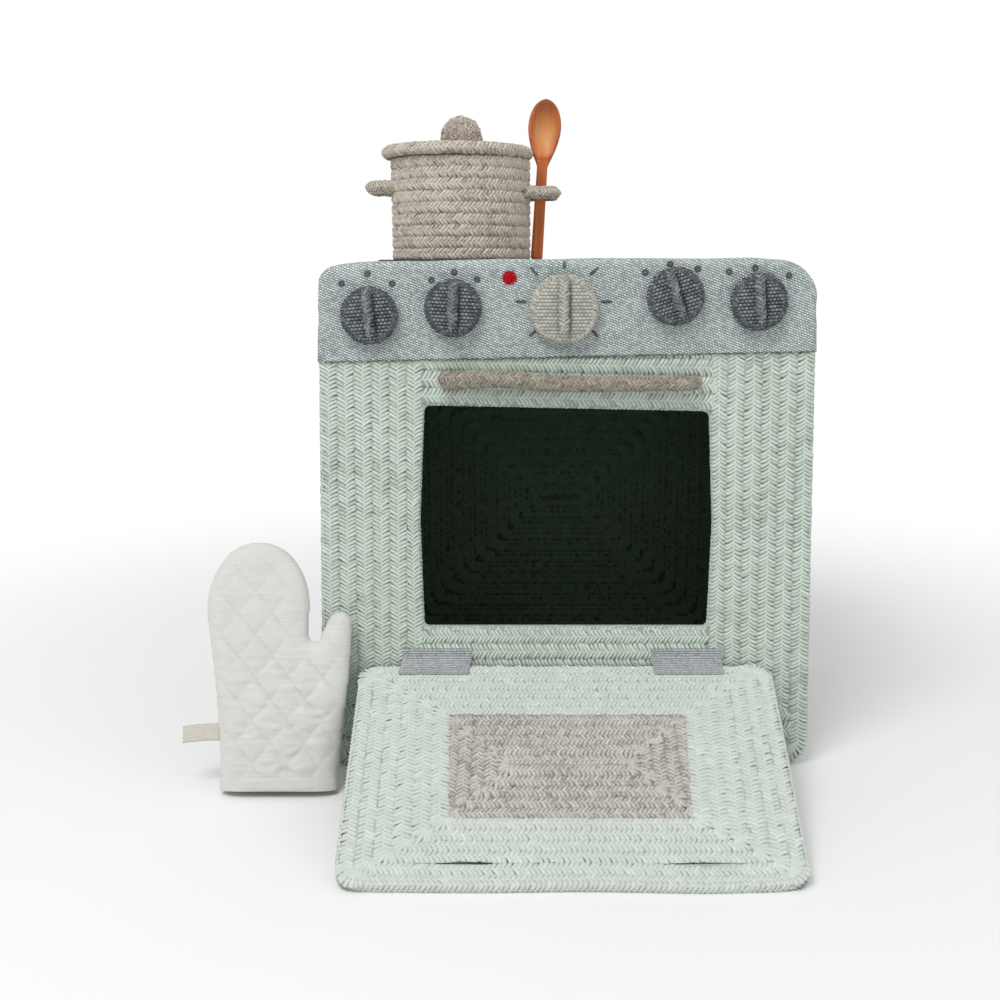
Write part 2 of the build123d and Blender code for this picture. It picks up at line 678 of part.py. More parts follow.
for side, turn, loop_reach, loop_height in POT_LOOPS:
    with BuildPart() as pot_loop:
        loop_plane = Plane((POT_X, POT_Y, POT_BASE + loop_height)).rotated((0, 0, turn))
        loop_start = sqrt(POT_RADIUS**2 - POT_LOOP_HALF_SPAN**2) - POT_LOOP_RADIUS
        with BuildLine(loop_plane, mode=Mode.PRIVATE) as loop:
            FilletPolyline(
                (loop_start, -POT_LOOP_HALF_SPAN),
                (loop_reach, -POT_LOOP_HALF_SPAN),
                (loop_reach, POT_LOOP_HALF_SPAN),
                (loop_start, POT_LOOP_HALF_SPAN),
                radius=POT_LOOP_BEND,
            )
        with BuildSketch(Plane(loop.line @ 0, z_dir=loop.line % 0)):
            Circle(POT_LOOP_RADIUS)
        sweep(path=loop.line)
        with BuildSketch(Plane((POT_X, POT_Y, POT_BASE))):
            Circle(POT_RADIUS)
        extrude(amount=POT_HEIGHT, mode=Mode.SUBTRACT)
    save(pot_loop, f"pot_loop_{side}")

# Lid: a flat coil of rope with a ball to lift it by
with BuildPart() as lid:
    with BuildSketch(LID_SECTION) as lid_section:
        with Locations((LID_RADIUS / 2, LID_THICKNESS / 2)):
            Rectangle(LID_RADIUS, LID_THICKNESS)
        fillet(lid_section.vertices().group_by(Axis.X)[-1], LID_EDGE)
        lid_pitch = (LID_RADIUS - BALL_RADIUS) / (LID_ROWS - 1)
        for row in range(1, LID_ROWS - 1):
            with Locations((LID_RADIUS - row * lid_pitch, LID_THICKNESS)):
                Polygon(
                    (-GROOVE_WIDTH / 2, 0),
                    (GROOVE_WIDTH / 2, 0),
                    (0, -GROOVE_DEPTH),
                    align=None,
                    mode=Mode.SUBTRACT,
                )
    revolve(axis=Axis((POT_X + LID_OFFSET, POT_Y, 0), (0, 0, 1)))
save(lid, "lid")

with BuildPart() as lid_ball:
    with BuildSketch(LID_SECTION) as ball_section:
        with Locations((BALL_OFFSET, LID_THICKNESS + BALL_RISE)):
            Circle(BALL_RADIUS)
        with Locations((BALL_OFFSET, LID_THICKNESS)):
            Rectangle(
                BALL_RADIUS, 3 * BALL_RADIUS, align=(Align.MIN, Align.MIN), mode=Mode.INTERSECT
            )
    revolve(axis=Axis((POT_X + LID_OFFSET + BALL_OFFSET, POT_Y, 0), (0, 0, 1)))
save(lid_ball, "lid_ball")

# Wooden spoon, standing in the right loop of the pot with its hollow side forward
with BuildPart() as spoon:
    bowl_y = SPOON_LENGTH - SPOON_BOWL_LENGTH / 2
    neck_y = SPOON_LENGTH - SPOON_BOWL_LENGTH + SPOON_NECK_OVERLAP
    with BuildSketch(SPOON.offset(-SPOON_BOWL_THICKNESS / 2)):
        with Locations((0, bowl_y)):
            Ellipse(SPOON_BOWL_WIDTH / 2, SPOON_BOWL_LENGTH / 2)
    extrude(amount=SPOON_BOWL_THICKNESS)
    bowl_back = spoon.edges().group_by(Axis.Y)[-1]
    chamfer(bowl_back, SPOON_BACK_SLOPE_HEIGHT, SPOON_BACK_SLOPE_WIDTH)
    with BuildSketch(SPOON.offset(SPOON_BOWL_THICKNESS / 2)):
        with Locations((0, bowl_y)):
            Ellipse(SPOON_BOWL_WIDTH / 2 - SPOON_BOWL_RIM, SPOON_BOWL_LENGTH / 2 - SPOON_BOWL_RIM)
    with BuildSketch(SPOON.offset(SPOON_BOWL_THICKNESS / 2 - SPOON_BOWL_DEPTH)):
        with Locations((0, bowl_y)):
            Ellipse(SPOON_BOWL_WIDTH / 4, SPOON_BOWL_LENGTH / 4)
    loft(mode=Mode.SUBTRACT)
    stem_foot = Plane(SPOON.origin, x_dir=SPOON.x_dir, z_dir=SPOON.y_dir)
    with BuildSketch(stem_foot):
        RectangleRounded(SPOON_FOOT_WIDTH, SPOON_STEM_THICKNESS, SPOON_STEM_EDGE)
    with BuildSketch(stem_foot.offset(neck_y)):
        RectangleRounded(SPOON_NECK_WIDTH, SPOON_STEM_THICKNESS, SPOON_STEM_EDGE)
    loft()
save(spoon, "spoon")

# Mitt: two quilted layers sewn together round the hand, open at the cuff
with BuildSketch() as mitt_outline:
    cuff_left = (-MITT_CUFF_WIDTH / 2, 0)
    cuff_right = (MITT_CUFF_WIDTH / 2, 0)
    with BuildLine():
        Line(cuff_right, cuff_left)
        ThreePointArc(cuff_left, WRIST_LEFT, FINGER_LEFT)
        ThreePointArc(FINGER_LEFT, FINGER_LEFT_TURN, FINGER_TOP_LEFT)
        ThreePointArc(FINGER_TOP_LEFT, FINGER_TIP, FINGER_TOP_RIGHT)
        ThreePointArc(FINGER_TOP_RIGHT, FINGER_RIGHT_TURN, FINGER_RIGHT)
        Line(FINGER_RIGHT, CROTCH_LEFT)
        ThreePointArc(CROTCH_LEFT, CROTCH_BOTTOM, CROTCH_RIGHT)
        Line(CROTCH_RIGHT, THUMB_LEFT)
        ThreePointArc(THUMB_LEFT, THUMB_TIP, THUMB_RIGHT)
        ThreePointArc(THUMB_RIGHT, WRIST_RIGHT, cuff_right)
    make_face()

with BuildSketch() as mitt_hand:
    add(mitt_outline.sketch)
    with Locations((0, MITT_HEM)):
        Rectangle(
            3 * MITT_CUFF_WIDTH,
            3 * MITT_CUFF_WIDTH,
            align=(Align.CENTER, Align.MIN),
            mode=Mode.INTERSECT,
        )

with BuildPart() as mitt_front:
    with BuildSketch(MITT.offset(MITT_HOLLOW / 2)):
        add(mitt_hand.sketch)
    extrude(amount=MITT_LAYER)
save(mitt_front, "mitt_front")

with BuildPart() as mitt_back:
    with BuildSketch(MITT.offset(-MITT_HOLLOW / 2)):
        add(mitt_hand.sketch)
    extrude(amount=-MITT_LAYER)
save(mitt_back, "mitt_back")

with BuildSketch() as hand_hollow:
    add(mitt_outline.sketch)
    offset(amount=-MITT_SEAM)
    Rectangle(MITT_CUFF_WIDTH - 2 * MITT_SEAM, 4 * MITT_SEAM)

with BuildPart() as mitt_seam:
    with BuildSketch(MITT.offset(-MITT_HOLLOW / 2)):
        add(mitt_hand.sketch)
        add(hand_hollow.sketch, mode=Mode.SUBTRACT)
    extrude(amount=MITT_HOLLOW)
save(mitt_seam, "mitt_seam")

with BuildPart() as mitt_hem:
    with BuildSketch(MITT.offset(-MITT_THICKNESS / 2)):
        with Locations((0, 0)):
            Rectangle(MITT_CUFF_WIDTH, MITT_HEM, align=(Align.CENTER, Align.MIN))
    extrude(amount=MITT_THICKNESS)
    with BuildSketch(MITT.offset(-MITT_HOLLOW / 2)):
        Rectangle(MITT_CUFF_WIDTH - 2 * MITT_SEAM, 3 * MITT_HEM)
    extrude(amount=MITT_HOLLOW, mode=Mode.SUBTRACT)
save(mitt_hem, "mitt_hem")

with BuildPart() as mitt_loop:
    with BuildSketch(MITT.offset(-MITT_LOOP_THICKNESS / 2)):
        with Locations((MITT_LOOP_X, MITT_LOOP_HEIGHT)):
            Rectangle(MITT_LOOP_LENGTH, MITT_LOOP_WIDTH, align=(Align.MIN, Align.CENTER))
        add(mitt_hand.sketch, mode=Mode.SUBTRACT)
    extrude(amount=MITT_LOOP_THICKNESS)
save(mitt_loop, "mitt_loop")

print("door slope", round(degrees(DOOR_SLOPE), 2), "degrees")
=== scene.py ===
"""Soft toy kitchen of sewn rope, dressed on its frame: braids, woven cloth, knobs, pot, spoon and mitt."""

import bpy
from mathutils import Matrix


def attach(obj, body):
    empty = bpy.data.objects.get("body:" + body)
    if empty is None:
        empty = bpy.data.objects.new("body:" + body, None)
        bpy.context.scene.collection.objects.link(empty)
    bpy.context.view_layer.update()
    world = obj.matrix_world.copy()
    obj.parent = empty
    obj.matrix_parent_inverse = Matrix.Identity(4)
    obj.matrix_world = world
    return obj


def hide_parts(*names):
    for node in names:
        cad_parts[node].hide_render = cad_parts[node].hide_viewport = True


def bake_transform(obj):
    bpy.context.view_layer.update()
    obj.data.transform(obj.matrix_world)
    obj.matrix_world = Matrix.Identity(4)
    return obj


bl_info = {
    "name": "Sewn rope toy kitchen",
    "version": (1, 0, 0),
    "blender": (4, 5, 0),
    "location": "View3D > Sidebar > Kitchen",
    "description": "Dresses the toy kitchen's frame in braided rope, woven cloth and quilted cotton",
    "category": "Object",
}

from dataclasses import dataclass
from math import atan2, copysign, cos, exp, floor, hypot, pi, radians, sin, sqrt

import bmesh
import bpy
import numpy as np
from bpy.props import FloatProperty, FloatVectorProperty, IntProperty, PointerProperty
from mathutils import Matrix, Vector, noise

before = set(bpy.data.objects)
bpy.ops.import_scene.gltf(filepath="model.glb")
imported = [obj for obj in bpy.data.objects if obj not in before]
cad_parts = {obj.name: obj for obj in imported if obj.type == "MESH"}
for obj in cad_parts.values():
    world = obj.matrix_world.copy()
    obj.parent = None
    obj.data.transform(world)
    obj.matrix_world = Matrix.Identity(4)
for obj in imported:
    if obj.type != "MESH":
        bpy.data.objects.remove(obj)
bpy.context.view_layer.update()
MM = 0.001

# Places of the frame, in millimetres
FRONT_Y = -150.0
BACK_Y = 150.0
FLOOR_HALF = 214.0
TOP_HALF = 202.0
HEIGHT = 436.0
WALL = 9.0
CORNER_RADIUS = 24.0
ROW = 14.4
WALL_ROWS = 20
BAND_BOTTOM = 361.0
ROPE_TOP = 371.0
MOUTH_LOW = 128.0
MOUTH_HIGH = 316.0
MOUTH_LOW_HALF = 122.5
MOUTH_HIGH_HALF = 119.0
MOUTH_BOW = 3.75
MOUTH_LEFT_RISE = 5.0
MOUTH_RIM = 0.8
MOUTH_ROWS = 5
OVEN_BACK_Y = 136.0
OVEN_ROW = 12.5
OVEN_COIL_HEIGHT = 185.0
OVEN_COIL_CORE = 20.0
LINING_ROW = 10.0
COVER_GAP = 2.0
COVER_ROLL = 6.0
SEAM_HALF = 0.9
TWILL_BIAS = radians(21.2)
BURNER_RADIUS = 75.0
BURNER_ROW = 7.5
BURNER_SIDES = 96
PULL_Y = -164.0
PULL_BEND = 9.0
PULL_ROWS = 6
POT_BASE = 440.0
POT_RADIUS = 63.5
POT_ROW = 10.0
LOOP_RADIUS = 5.5
LOOP_HALF = 21.0
LOOP_BEND = 12.0
POT_CENTRE = Vector((-95.0, 0.0, POT_BASE))
LID_CENTRE = Vector((-97.7, 0.0, 530.3))
LID_RADIUS = 69.0
LID_ROW = 10.14
BALL_CENTRE = Vector((-94.2, 0.0, 549.8))
BALL_RADIUS = 18.0
SPOON_FOOT = Vector((-25.0, 6.0, 440.3))
SPOON_LENGTH = 144.0
BOWL_HALF = 15.2
BOWL_WIDEST = 0.43
BOWL_DEPTH = 7.2
HINGE = Vector((0.0, FRONT_Y - 1.6, 101.0))
DOOR_SLOPE = radians(23.72)
DOOR_START = 6.0
DOOR_END = 230.0
DOOR_HINGE_HALF = 177.0
DOOR_FREE_HALF = 170.0
WINDOW_HALF = 98.0
WINDOW_HALF_LENGTH = 53.0
DOOR_OVERLAP = 1.05
# Side, place across the front, and skew
STRAPS = (("left", -112.0, -3.0), ("right", 105.0, 1.0))
STRAP_HALF = 30.0
STRAP_THICK = 0.5
KNOB_BACK = FRONT_Y - 3.4
KNOB_RIM = 1.6
KNOB_GRAIN = 1.15
# Name, place across the front, height, radius, and turn of the grip in degrees
KNOBS = (
    ("burner_knob_1", -161.0, 395.0, 23.5, 5.0),
    ("burner_knob_2", -93.0, 401.0, 23.5, -3.0),
    ("oven_knob", -3.0, 400.0, 28.5, 0.0),
    ("burner_knob_3", 87.3, 410.3, 23.5, 18.0),
    ("burner_knob_4", 155.0, 406.0, 23.5, 4.0),
)
# Rings over each burner knob, from its middle
RING_OFFSETS = {
    "burner_knob_1": ((-22.5, 25.5), (-1.3, 33.5), (18.5, 25.5)),
    "burner_knob_2": ((-17.5, 22.2), (1.1, 28.7), (19.6, 22.8)),
    "burner_knob_3": ((-24.6, 19.3), (-4.6, 25.9), (18.0, 22.0)),
    "burner_knob_4": ((-24.4, 24.1), (-3.4, 27.1), (24.2, 21.1)),
}
TICK_RISE = 6.0
# Distance from the oven knob and half length of each tick
TICKS = ((34.5, 3.2), (34.0, 3.2), (33.5, 3.2), (28.5, 2.2), (33.5, 3.2), (34.0, 3.2), (34.5, 3.2))
RING_RADIUS = 1.7
# Place across the front, height and radius
LIGHT = (-47.7, 425.0, 5.2)
# Side, its direction, reach from the pot's middle, and height
POT_LOOPS = (("left", -1, 81.0, 64.5), ("right", 1, 86.0, 60.0))
SIDE_LEAN = (FLOOR_HALF - TOP_HALF) / HEIGHT
MITT_HALF = 10.2
CUFF_HALF = 48.5
EDGE_SNAP = 0.8
FORWARD = (0.0, -1.0, 0.0)

# Each row beside the door's slot: how it bends from the slot's ends, and its share of the edge's wave
SLOT_BENDS = ((0.0, 1.0), (1.0, 1.0), (-1.0, 0.3))
# Section of the cuff's binding: outward and up
HEM_PROFILE = (
    (-4.5, 26.0),
    (-4.2, 8.0),
    (-2.8, 0.8),
    (-1.2, 0.0),
    (0.5, 0.2),
    (1.2, 1.0),
    (1.4, 4.0),
    (1.4, 8.0),
    (1.3, 10.4),
    (0.8, 11.0),
    (-0.8, 11.2),
)
# One strand: shares of its row's half width, and its section as across, down and the weight of the painted
# shade that darkens it towards the gaps between strands
STRAND_ALONG = (1.06, 0.74, 0.38, -0.12)
STRAND_SECTION = (
    (-0.5, -1.1, 1.0),
    (-0.34, -0.32, 0.3),
    (0.0, 0.0, 0.0),
    (0.34, -0.32, 0.3),
    (0.5, -1.1, 1.0),
)
CORNER_STEPS = 6
ROW_SHIFT = 0.5
BRAID_INPUTS = {
    "Routes": "Geometry",
    "Left strand": "Object",
    "Right strand": "Object",
    "Looseness": "Float",
    "Seed": "Int",
    "Material": "Material",
}
CLOTH = "cloth"
WHITE = (1.0, 1.0, 1.0, 1.0)


def linear(colour):
    """Scene-linear RGBA of a display colour."""
    return tuple(((c + 0.055) / 1.055) ** 2.4 if c > 0.04045 else c / 12.92 for c in colour) + (1.0,)


def clamp(value, low=0.0, high=1.0):
    return max(low, min(high, value))


def bell(value, middle, width):
    """Smooth bump that is 1 at its middle."""
    return exp(-(((value - middle) / width) ** 2))


def rumple(x, y, z):
    """Smooth noise at a place."""
    return noise.noise(Vector((x, y, z)))


def turns(count):
    """Angles once round in equal steps."""
    return [2 * pi * index / count for index in range(count)]


def colour_property(name, description, default):
    return FloatVectorProperty(
        name=name, description=description, subtype="COLOR_GAMMA", size=3, min=0.0, max=1.0, default=default
    )


def length_property(name, description, default):
    return FloatProperty(name=name, description=description, unit="LENGTH", min=0.0, default=default)


def power_property(name, description, default):
    return FloatProperty(name=name, description=description, subtype="POWER", default=default)


class KitchenRope(bpy.types.PropertyGroup):
    """Braided rope"""

    panel_stitch: length_property("Panel stitch", "Length of one braid stitch on the cabinet", 3.4 * MM)
    door_stitch: length_property("Door stitch", "Length of one braid stitch on the door", 3.7 * MM)
    pot_stitch: length_property("Pot stitch", "Length of one braid stitch on the pot", 3.8 * MM)
    crest: length_property("Crest", "How far a strand stands over its row", 0.9 * MM)
    mint: colour_property("Mint", "Body of the cabinet rope", (0.815, 0.865, 0.82))
    door: colour_property("Door mint", "Body of the door rope", (0.825, 0.858, 0.828))
    mint_light: colour_property("Mint light", "Palest strands of the cabinet rope", (0.90, 0.94, 0.905))
    # Mint shade is the darkest strands' tone, and the base of the painted shade in the gaps between strands
    mint_shade: colour_property("Mint shade", "Deep gaps of the cabinet rope", (0.63, 0.68, 0.63))
    oven: colour_property("Oven green", "Rope inside the oven", (0.305, 0.40, 0.32))
    taupe: colour_property("Window taupe", "Rope of the door window", (0.79, 0.775, 0.745))
    beige: colour_property("Pot beige", "Rope of the pot and lid", (0.81, 0.765, 0.71))
    pull: colour_property("Pull grey", "Rope of the oven pull", (0.635, 0.605, 0.55))
    seed: IntProperty(name="Seed", description="Seed of the strands' variation", default=4)


class KitchenCloth(bpy.types.PropertyGroup):
    """Woven cloth, tape and thread"""

    band: colour_property("Cover", "Cloth over the top and the control band", (0.815, 0.875, 0.865))
    slate: colour_property("Slate", "Cloth of the burner knobs", (0.36, 0.385, 0.405))
    oatmeal: colour_property("Oatmeal", "Cloth of the oven knob", (0.74, 0.735, 0.69))
    burner: colour_property("Burner", "Cloth of the burner patches", (0.25, 0.28, 0.285))
    tape: colour_property("Tape", "Ribbed tape of the hinges", (0.775, 0.795, 0.81))
    thread: colour_property("Thread", "Grey embroidery thread", (0.38, 0.405, 0.42))
    red: colour_property("Red thread", "Embroidered light", (0.83, 0.06, 0.13))
    seam: colour_property("Seam thread", "Stitches along the bands", (0.36, 0.37, 0.27))
    twill: length_property("Twill", "Pitch of the cover's weave", 1.92 * MM)
    rib: length_property("Rib", "Pitch of the knobs' ribs", 2.8 * MM)
    pucker: length_property("Pucker", "Depth of the cover's puckers", 1.4 * MM)


class KitchenMitt(bpy.types.PropertyGroup):
    """Quilted mitt"""

    cotton: colour_property("Cotton", "Cloth of the mitt", (0.855, 0.857, 0.832))
    tape: colour_property("Loop tape", "Tape of the hanging loop", (0.87, 0.85, 0.80))
    quilt_width: length_property("Quilt width", "Width of a quilted diamond", 29.0 * MM)
    quilt_height: length_property("Quilt height", "Height of a quilted diamond", 36.0 * MM)
    stitch_depth: length_property("Stitch depth", "Depth of the quilting lines", 1.5 * MM)
    puff: length_property("Puff", "Rise of a diamond's middle", 1.3 * MM)


class KitchenSpoon(bpy.types.PropertyGroup):
    """Wooden spoon"""

    wood: colour_property("Wood", "Body of the spoon", (0.83, 0.455, 0.2))
    wood_dark: colour_property("Wood grain", "Dark grain of the spoon", (0.63, 0.31, 0.125))
    # The bowl's pale colour is painted light, low in the hollow where light falls
    wood_lit_bowl: colour_property("Wood worn", "Worn wood in the bowl", (0.83, 0.63, 0.39))


class KitchenStage(bpy.types.PropertyGroup):
    """Floor, light and camera"""

    distance: length_property("Distance", "From the camera to the middle of the cabinet", 1.1)
    height: length_property("Height", "Of the camera over the floor", 0.436)
    tilt: FloatProperty(
        name="Tilt", description="Downward tilt of the camera", subtype="ANGLE", default=radians(11.61)
    )
    aside: FloatProperty(
        name="Aside", description="Place of the camera across the front", unit="LENGTH", default=-0.027
    )
    shift: FloatProperty(name="Shift", description="Sideways shift of the framing", default=-0.0344)
    lens: FloatProperty(name="Lens", description="Focal length in millimetres", default=41.34)
    floor: colour_property("Floor", "Colour of the floor", (0.97, 0.97, 0.97))
    key: power_property("Key", "Power of the large front light", 34.0)
    fill: power_property("Fill", "Power of the side light", 5.0)
    sky: FloatProperty(name="Sky", description="Strength of the light from all round", default=0.6)


# Nodes


def node(tree, kind, inputs=None, **settings):
    """Add a node, with its settings and its inputs as values or links."""
    made = tree.nodes.new(kind)
    for key, value in settings.items():
        setattr(made, key, value)
    for key, value in (inputs or {}).items():
        if isinstance(value, bpy.types.NodeSocket):
            tree.links.new(value, made.inputs[key])
        else:
            made.inputs[key].default_value = value
    return made


def maths(tree, operation, *values):
    """Output of one math node."""
    return node(tree, "ShaderNodeMath", dict(enumerate(values)), operation=operation).outputs[0]


def blended(tree, factor, first, second):
    """Output of a colour mix."""
    return node(tree, "ShaderNodeMix", {0: factor, 6: first, 7: second}, data_type="RGBA").outputs[2]


def ramped(tree, value, low, high):
    """Value carried smoothly from low..high to 0..1."""
    ends = {"Value": value, "From Min": low, "From Max": high}
    return node(tree, "ShaderNodeMapRange", ends, interpolation_type="SMOOTHSTEP").outputs["Result"]


def speckle(tree, place, scale, detail=2.0, roughness=0.5):
    """Value of a noise texture."""
    inputs = {"Vector": place, "Scale": scale, "Detail": detail, "Roughness": roughness}
    return node(tree, "ShaderNodeTexNoise", inputs).outputs["Fac"]


def stretched(tree, place, scale):
    """A place scaled by a different amount along each axis."""
    return node(tree, "ShaderNodeMapping", {"Vector": place, "Scale": scale}).outputs[0]


def ridged(tree, value):
    """Rounded ridges, one for each whole step of a value."""
    return maths(tree, "ABSOLUTE", maths(tree, "SINE", maths(tree, "MULTIPLY", value, pi)))


def cell_tone(tree, *cell):
    """Random tone of a cell."""
    place = node(tree, "ShaderNodeCombineXYZ", dict(enumerate(cell))).outputs[0]
    return node(tree, "ShaderNodeTexWhiteNoise", {"Vector": place}, noise_dimensions="3D").outputs["Value"]


def object_place(tree):
    return node(tree, "ShaderNodeTexCoord").outputs["Object"]


def cloth_map(tree):
    return node(tree, "ShaderNodeUVMap", uv_map=CLOTH).outputs["UV"]


def attribute(tree, name):
    return node(tree, "ShaderNodeAttribute", attribute_name=name).outputs["Fac"]


def shader_group(name, inputs, *outputs):
    """An empty shader group with named sockets; gives the group, its inputs and its outputs."""
    group = bpy.data.node_groups.new(name, "ShaderNodeTree")
    for socket, default in inputs.items():
        kind = "NodeSocketColor" if isinstance(default, tuple) else "NodeSocketFloat"
        group.interface.new_socket(socket, in_out="INPUT", socket_type=kind).default_value = default
    for socket in outputs:
        kind = "NodeSocketColor" if socket == "Color" else "NodeSocketFloat"
        group.interface.new_socket(socket, in_out="OUTPUT", socket_type=kind)
    return group, group.nodes.new("NodeGroupInput").outputs, group.nodes.new("NodeGroupOutput").inputs


def placed(tree, group, **inputs):
    """Outputs of a shader group put in a material, with its inputs as values or links."""
    return node(tree, "ShaderNodeGroup", inputs, node_tree=group).outputs


def cotton_fuzz():
    """Uneven cotton: a soft tone over centimetres and a fine raised fuzz."""
    group = bpy.data.node_groups.get("Cotton fuzz")
    if group:
        return group
    group, start, end = shader_group("Cotton fuzz", {"Fineness": 1400.0}, "Tone", "Height")
    place = object_place(group)
    wide = speckle(group, place, 45.0, 3.0, 0.6)
    fine = speckle(group, place, start["Fineness"], 3.0, 0.7)
    tone = maths(group, "ADD", maths(group, "MULTIPLY", wide, 0.5), maths(group, "MULTIPLY", fine, 0.5))
    group.links.new(tone, end["Tone"])
    group.links.new(fine, end["Height"])
    return group


def strand_colour():
    """Colour of a braid's strands: each strand has its own tone, and heather flecks run through it; painted
    shade darkens them where the gap attribute is set, towards the gaps between strands.
    """
    group = bpy.data.node_groups.get("Strand colour")
    if group:
        return group
    inputs = dict.fromkeys(("Shade", "Body", "Light", "Deep"), (0.5, 0.5, 0.5, 1.0))
    group, start, end = shader_group("Strand colour", inputs | {"Heather": 0.3, "Gap": 0.4}, "Color")
    place = object_place(group)
    fleck = maths(group, "SUBTRACT", speckle(group, place, 420.0, roughness=0.6), 0.5)
    flecks = maths(group, "MULTIPLY", maths(group, "MULTIPLY", fleck, start["Heather"]), 3.0)
    drift = maths(group, "MULTIPLY", maths(group, "SUBTRACT", speckle(group, place, 16.0), 0.5), 0.4)
    spread = maths(group, "MULTIPLY_ADD", attribute(group, "strand"), 0.5, 0.25)
    value = maths(group, "ADD", spread, maths(group, "ADD", flecks, drift))
    dark = blended(group, ramped(group, value, -0.1, 0.5), start["Shade"], start["Body"])
    pale = blended(group, ramped(group, value, 0.5, 1.1), dark, start["Light"])
    # Painted shade: the gap attribute darkens each strand towards the gaps beside it, down to the Deep colour
    gap = maths(group, "MULTIPLY", attribute(group, "gap"), start["Gap"])
    group.links.new(blended(group, gap, pale, start["Deep"]), end["Color"])
    return group


def woven_cloth():
    """Ribbed weave on the piece's own UV map, in metres: rows of raised grains, each shifted by half."""
    group = bpy.data.node_groups.get("Woven cloth")
    if group:
        return group
    group, start, end = shader_group("Woven cloth", {"Grain": 0.002, "Rib": 0.002}, "Height", "Tone")
    place = node(group, "ShaderNodeSeparateXYZ", {0: cloth_map(group)}).outputs
    across = maths(group, "DIVIDE", place["Y"], start["Rib"])
    row = maths(group, "FLOOR", across)
    shifted = maths(group, "MULTIPLY", row, ROW_SHIFT)
    along = maths(group, "ADD", maths(group, "DIVIDE", place["X"], start["Grain"]), shifted)
    rib = maths(group, "POWER", ridged(group, across), 0.7)
    height = maths(group, "MULTIPLY", rib, maths(group, "MULTIPLY_ADD", ridged(group, along), 0.6, 0.4))
    group.links.new(height, end["Height"])
    group.links.new(cell_tone(group, maths(group, "FLOOR", along), row), end["Tone"])
    return group


def rope_rows():
    """Flat braided rows for faces without strands: Along runs with the rows and Across over them."""
    group = bpy.data.node_groups.get("Rope rows")
    if group:
        return group
    inputs = {"Along": 0.0, "Across": 0.0, "Row": 0.0144, "Stitch": 0.0037}
    group, start, end = shader_group("Rope rows", inputs, "Height", "Tone")
    across = maths(group, "DIVIDE", start["Across"], start["Row"])
    row = maths(group, "FLOOR", across)
    side = maths(group, "SUBTRACT", maths(group, "FRACT", across), 0.5)
    sign = maths(group, "SIGN", side)
    out = maths(group, "MULTIPLY", maths(group, "ABSOLUTE", side), 2.0)
    slant = maths(group, "ADD", maths(group, "MULTIPLY", out, 1.1), maths(group, "MULTIPLY", sign, 0.25))
    phase = maths(group, "ADD", maths(group, "DIVIDE", start["Along"], start["Stitch"]), slant)
    crown = maths(group, "SUBTRACT", 1.0, maths(group, "POWER", out, 3.0))
    height = maths(group, "MULTIPLY_ADD", ridged(group, phase), 0.35, maths(group, "MULTIPLY", crown, 0.65))
    group.links.new(height, end["Height"])
    group.links.new(cell_tone(group, maths(group, "FLOOR", phase), row, sign), end["Tone"])
    return group


def new_material(name, roughness, sheen=0.0):
    """An empty material with its shader; uniform values are set on the shader itself."""
    made = bpy.data.materials.new(name)
    made.use_nodes = True
    tree = made.node_tree
    shader = tree.nodes["Principled BSDF"]
    shader.inputs["Roughness"].default_value = roughness
    shader.inputs["Specular IOR Level"].default_value = 0.25
    shader.inputs["Sheen Weight"].default_value = sheen
    shader.inputs["Sheen Roughness"].default_value = 0.5
    return made, tree, shader


def painted(tree, shader, tone, height, distance, strength):
    """Give a shader its colour and its raised grain."""
    tree.links.new(tone, shader.inputs["Base Color"])
    bump = node(tree, "ShaderNodeBump", {"Height": height, "Distance": distance, "Strength": strength})
    tree.links.new(bump.outputs["Normal"], shader.inputs["Normal"])


def darker(colour, factor):
    return tuple(c * factor for c in colour)


def lighter(colour, share):
    return tuple(c + (1.0 - c) * share for c in colour)


def braid_material(name, body, heather, shade=None, light=None, gap=0.6, sheen=0.1, low=None):
    """Strands of a braided cotton rope; gap is how strong the painted shade in the lines between them is, low
    a paler colour low down that paints light falling there.
    """
    made, tree, shader = new_material(name, 0.92, sheen)
    shade = shade or darker(body, 0.66)
    # Deep is the colour of the painted shade in the gaps between strands
    strand = placed(
        tree,
        strand_colour(),
        Shade=linear(shade),
        Body=linear(body),
        Light=linear(light or lighter(body, 0.38)),
        Deep=linear(darker(shade, 0.62)),
        Heather=heather,
        Gap=gap,
    )
    fuzz = placed(tree, cotton_fuzz(), Fineness=1500.0)
    tone = strand["Color"]
    # Painted light: the strands grow paler towards the bottom, where light falls on the lower part
    if low:
        height = node(tree, "ShaderNodeSeparateXYZ", {0: object_place(tree)}).outputs["Z"]
        tone = blended(tree, ramped(tree, height, 0.29, 0.1), tone, linear(low))
    tree.links.new(maths(tree, "MULTIPLY_ADD", fuzz["Tone"], 0.2, 0.8), shader.inputs["Roughness"])
    painted(tree, shader, tone, fuzz["Height"], 0.35 * MM, 0.7)
    return made


def core_material(name, colour):
    """Shaded inside of a rope row, seen between its strands."""
    made, tree, shader = new_material(name, 0.96)
    fuzz = placed(tree, cotton_fuzz(), Fineness=900.0)
    shown = ramped(tree, fuzz["Tone"], 0.35, 0.65)
    tone = blended(tree, shown, linear(darker(colour, 0.75)), linear(colour))
    painted(tree, shader, tone, fuzz["Height"], 0.5 * MM, 0.8)
    return made


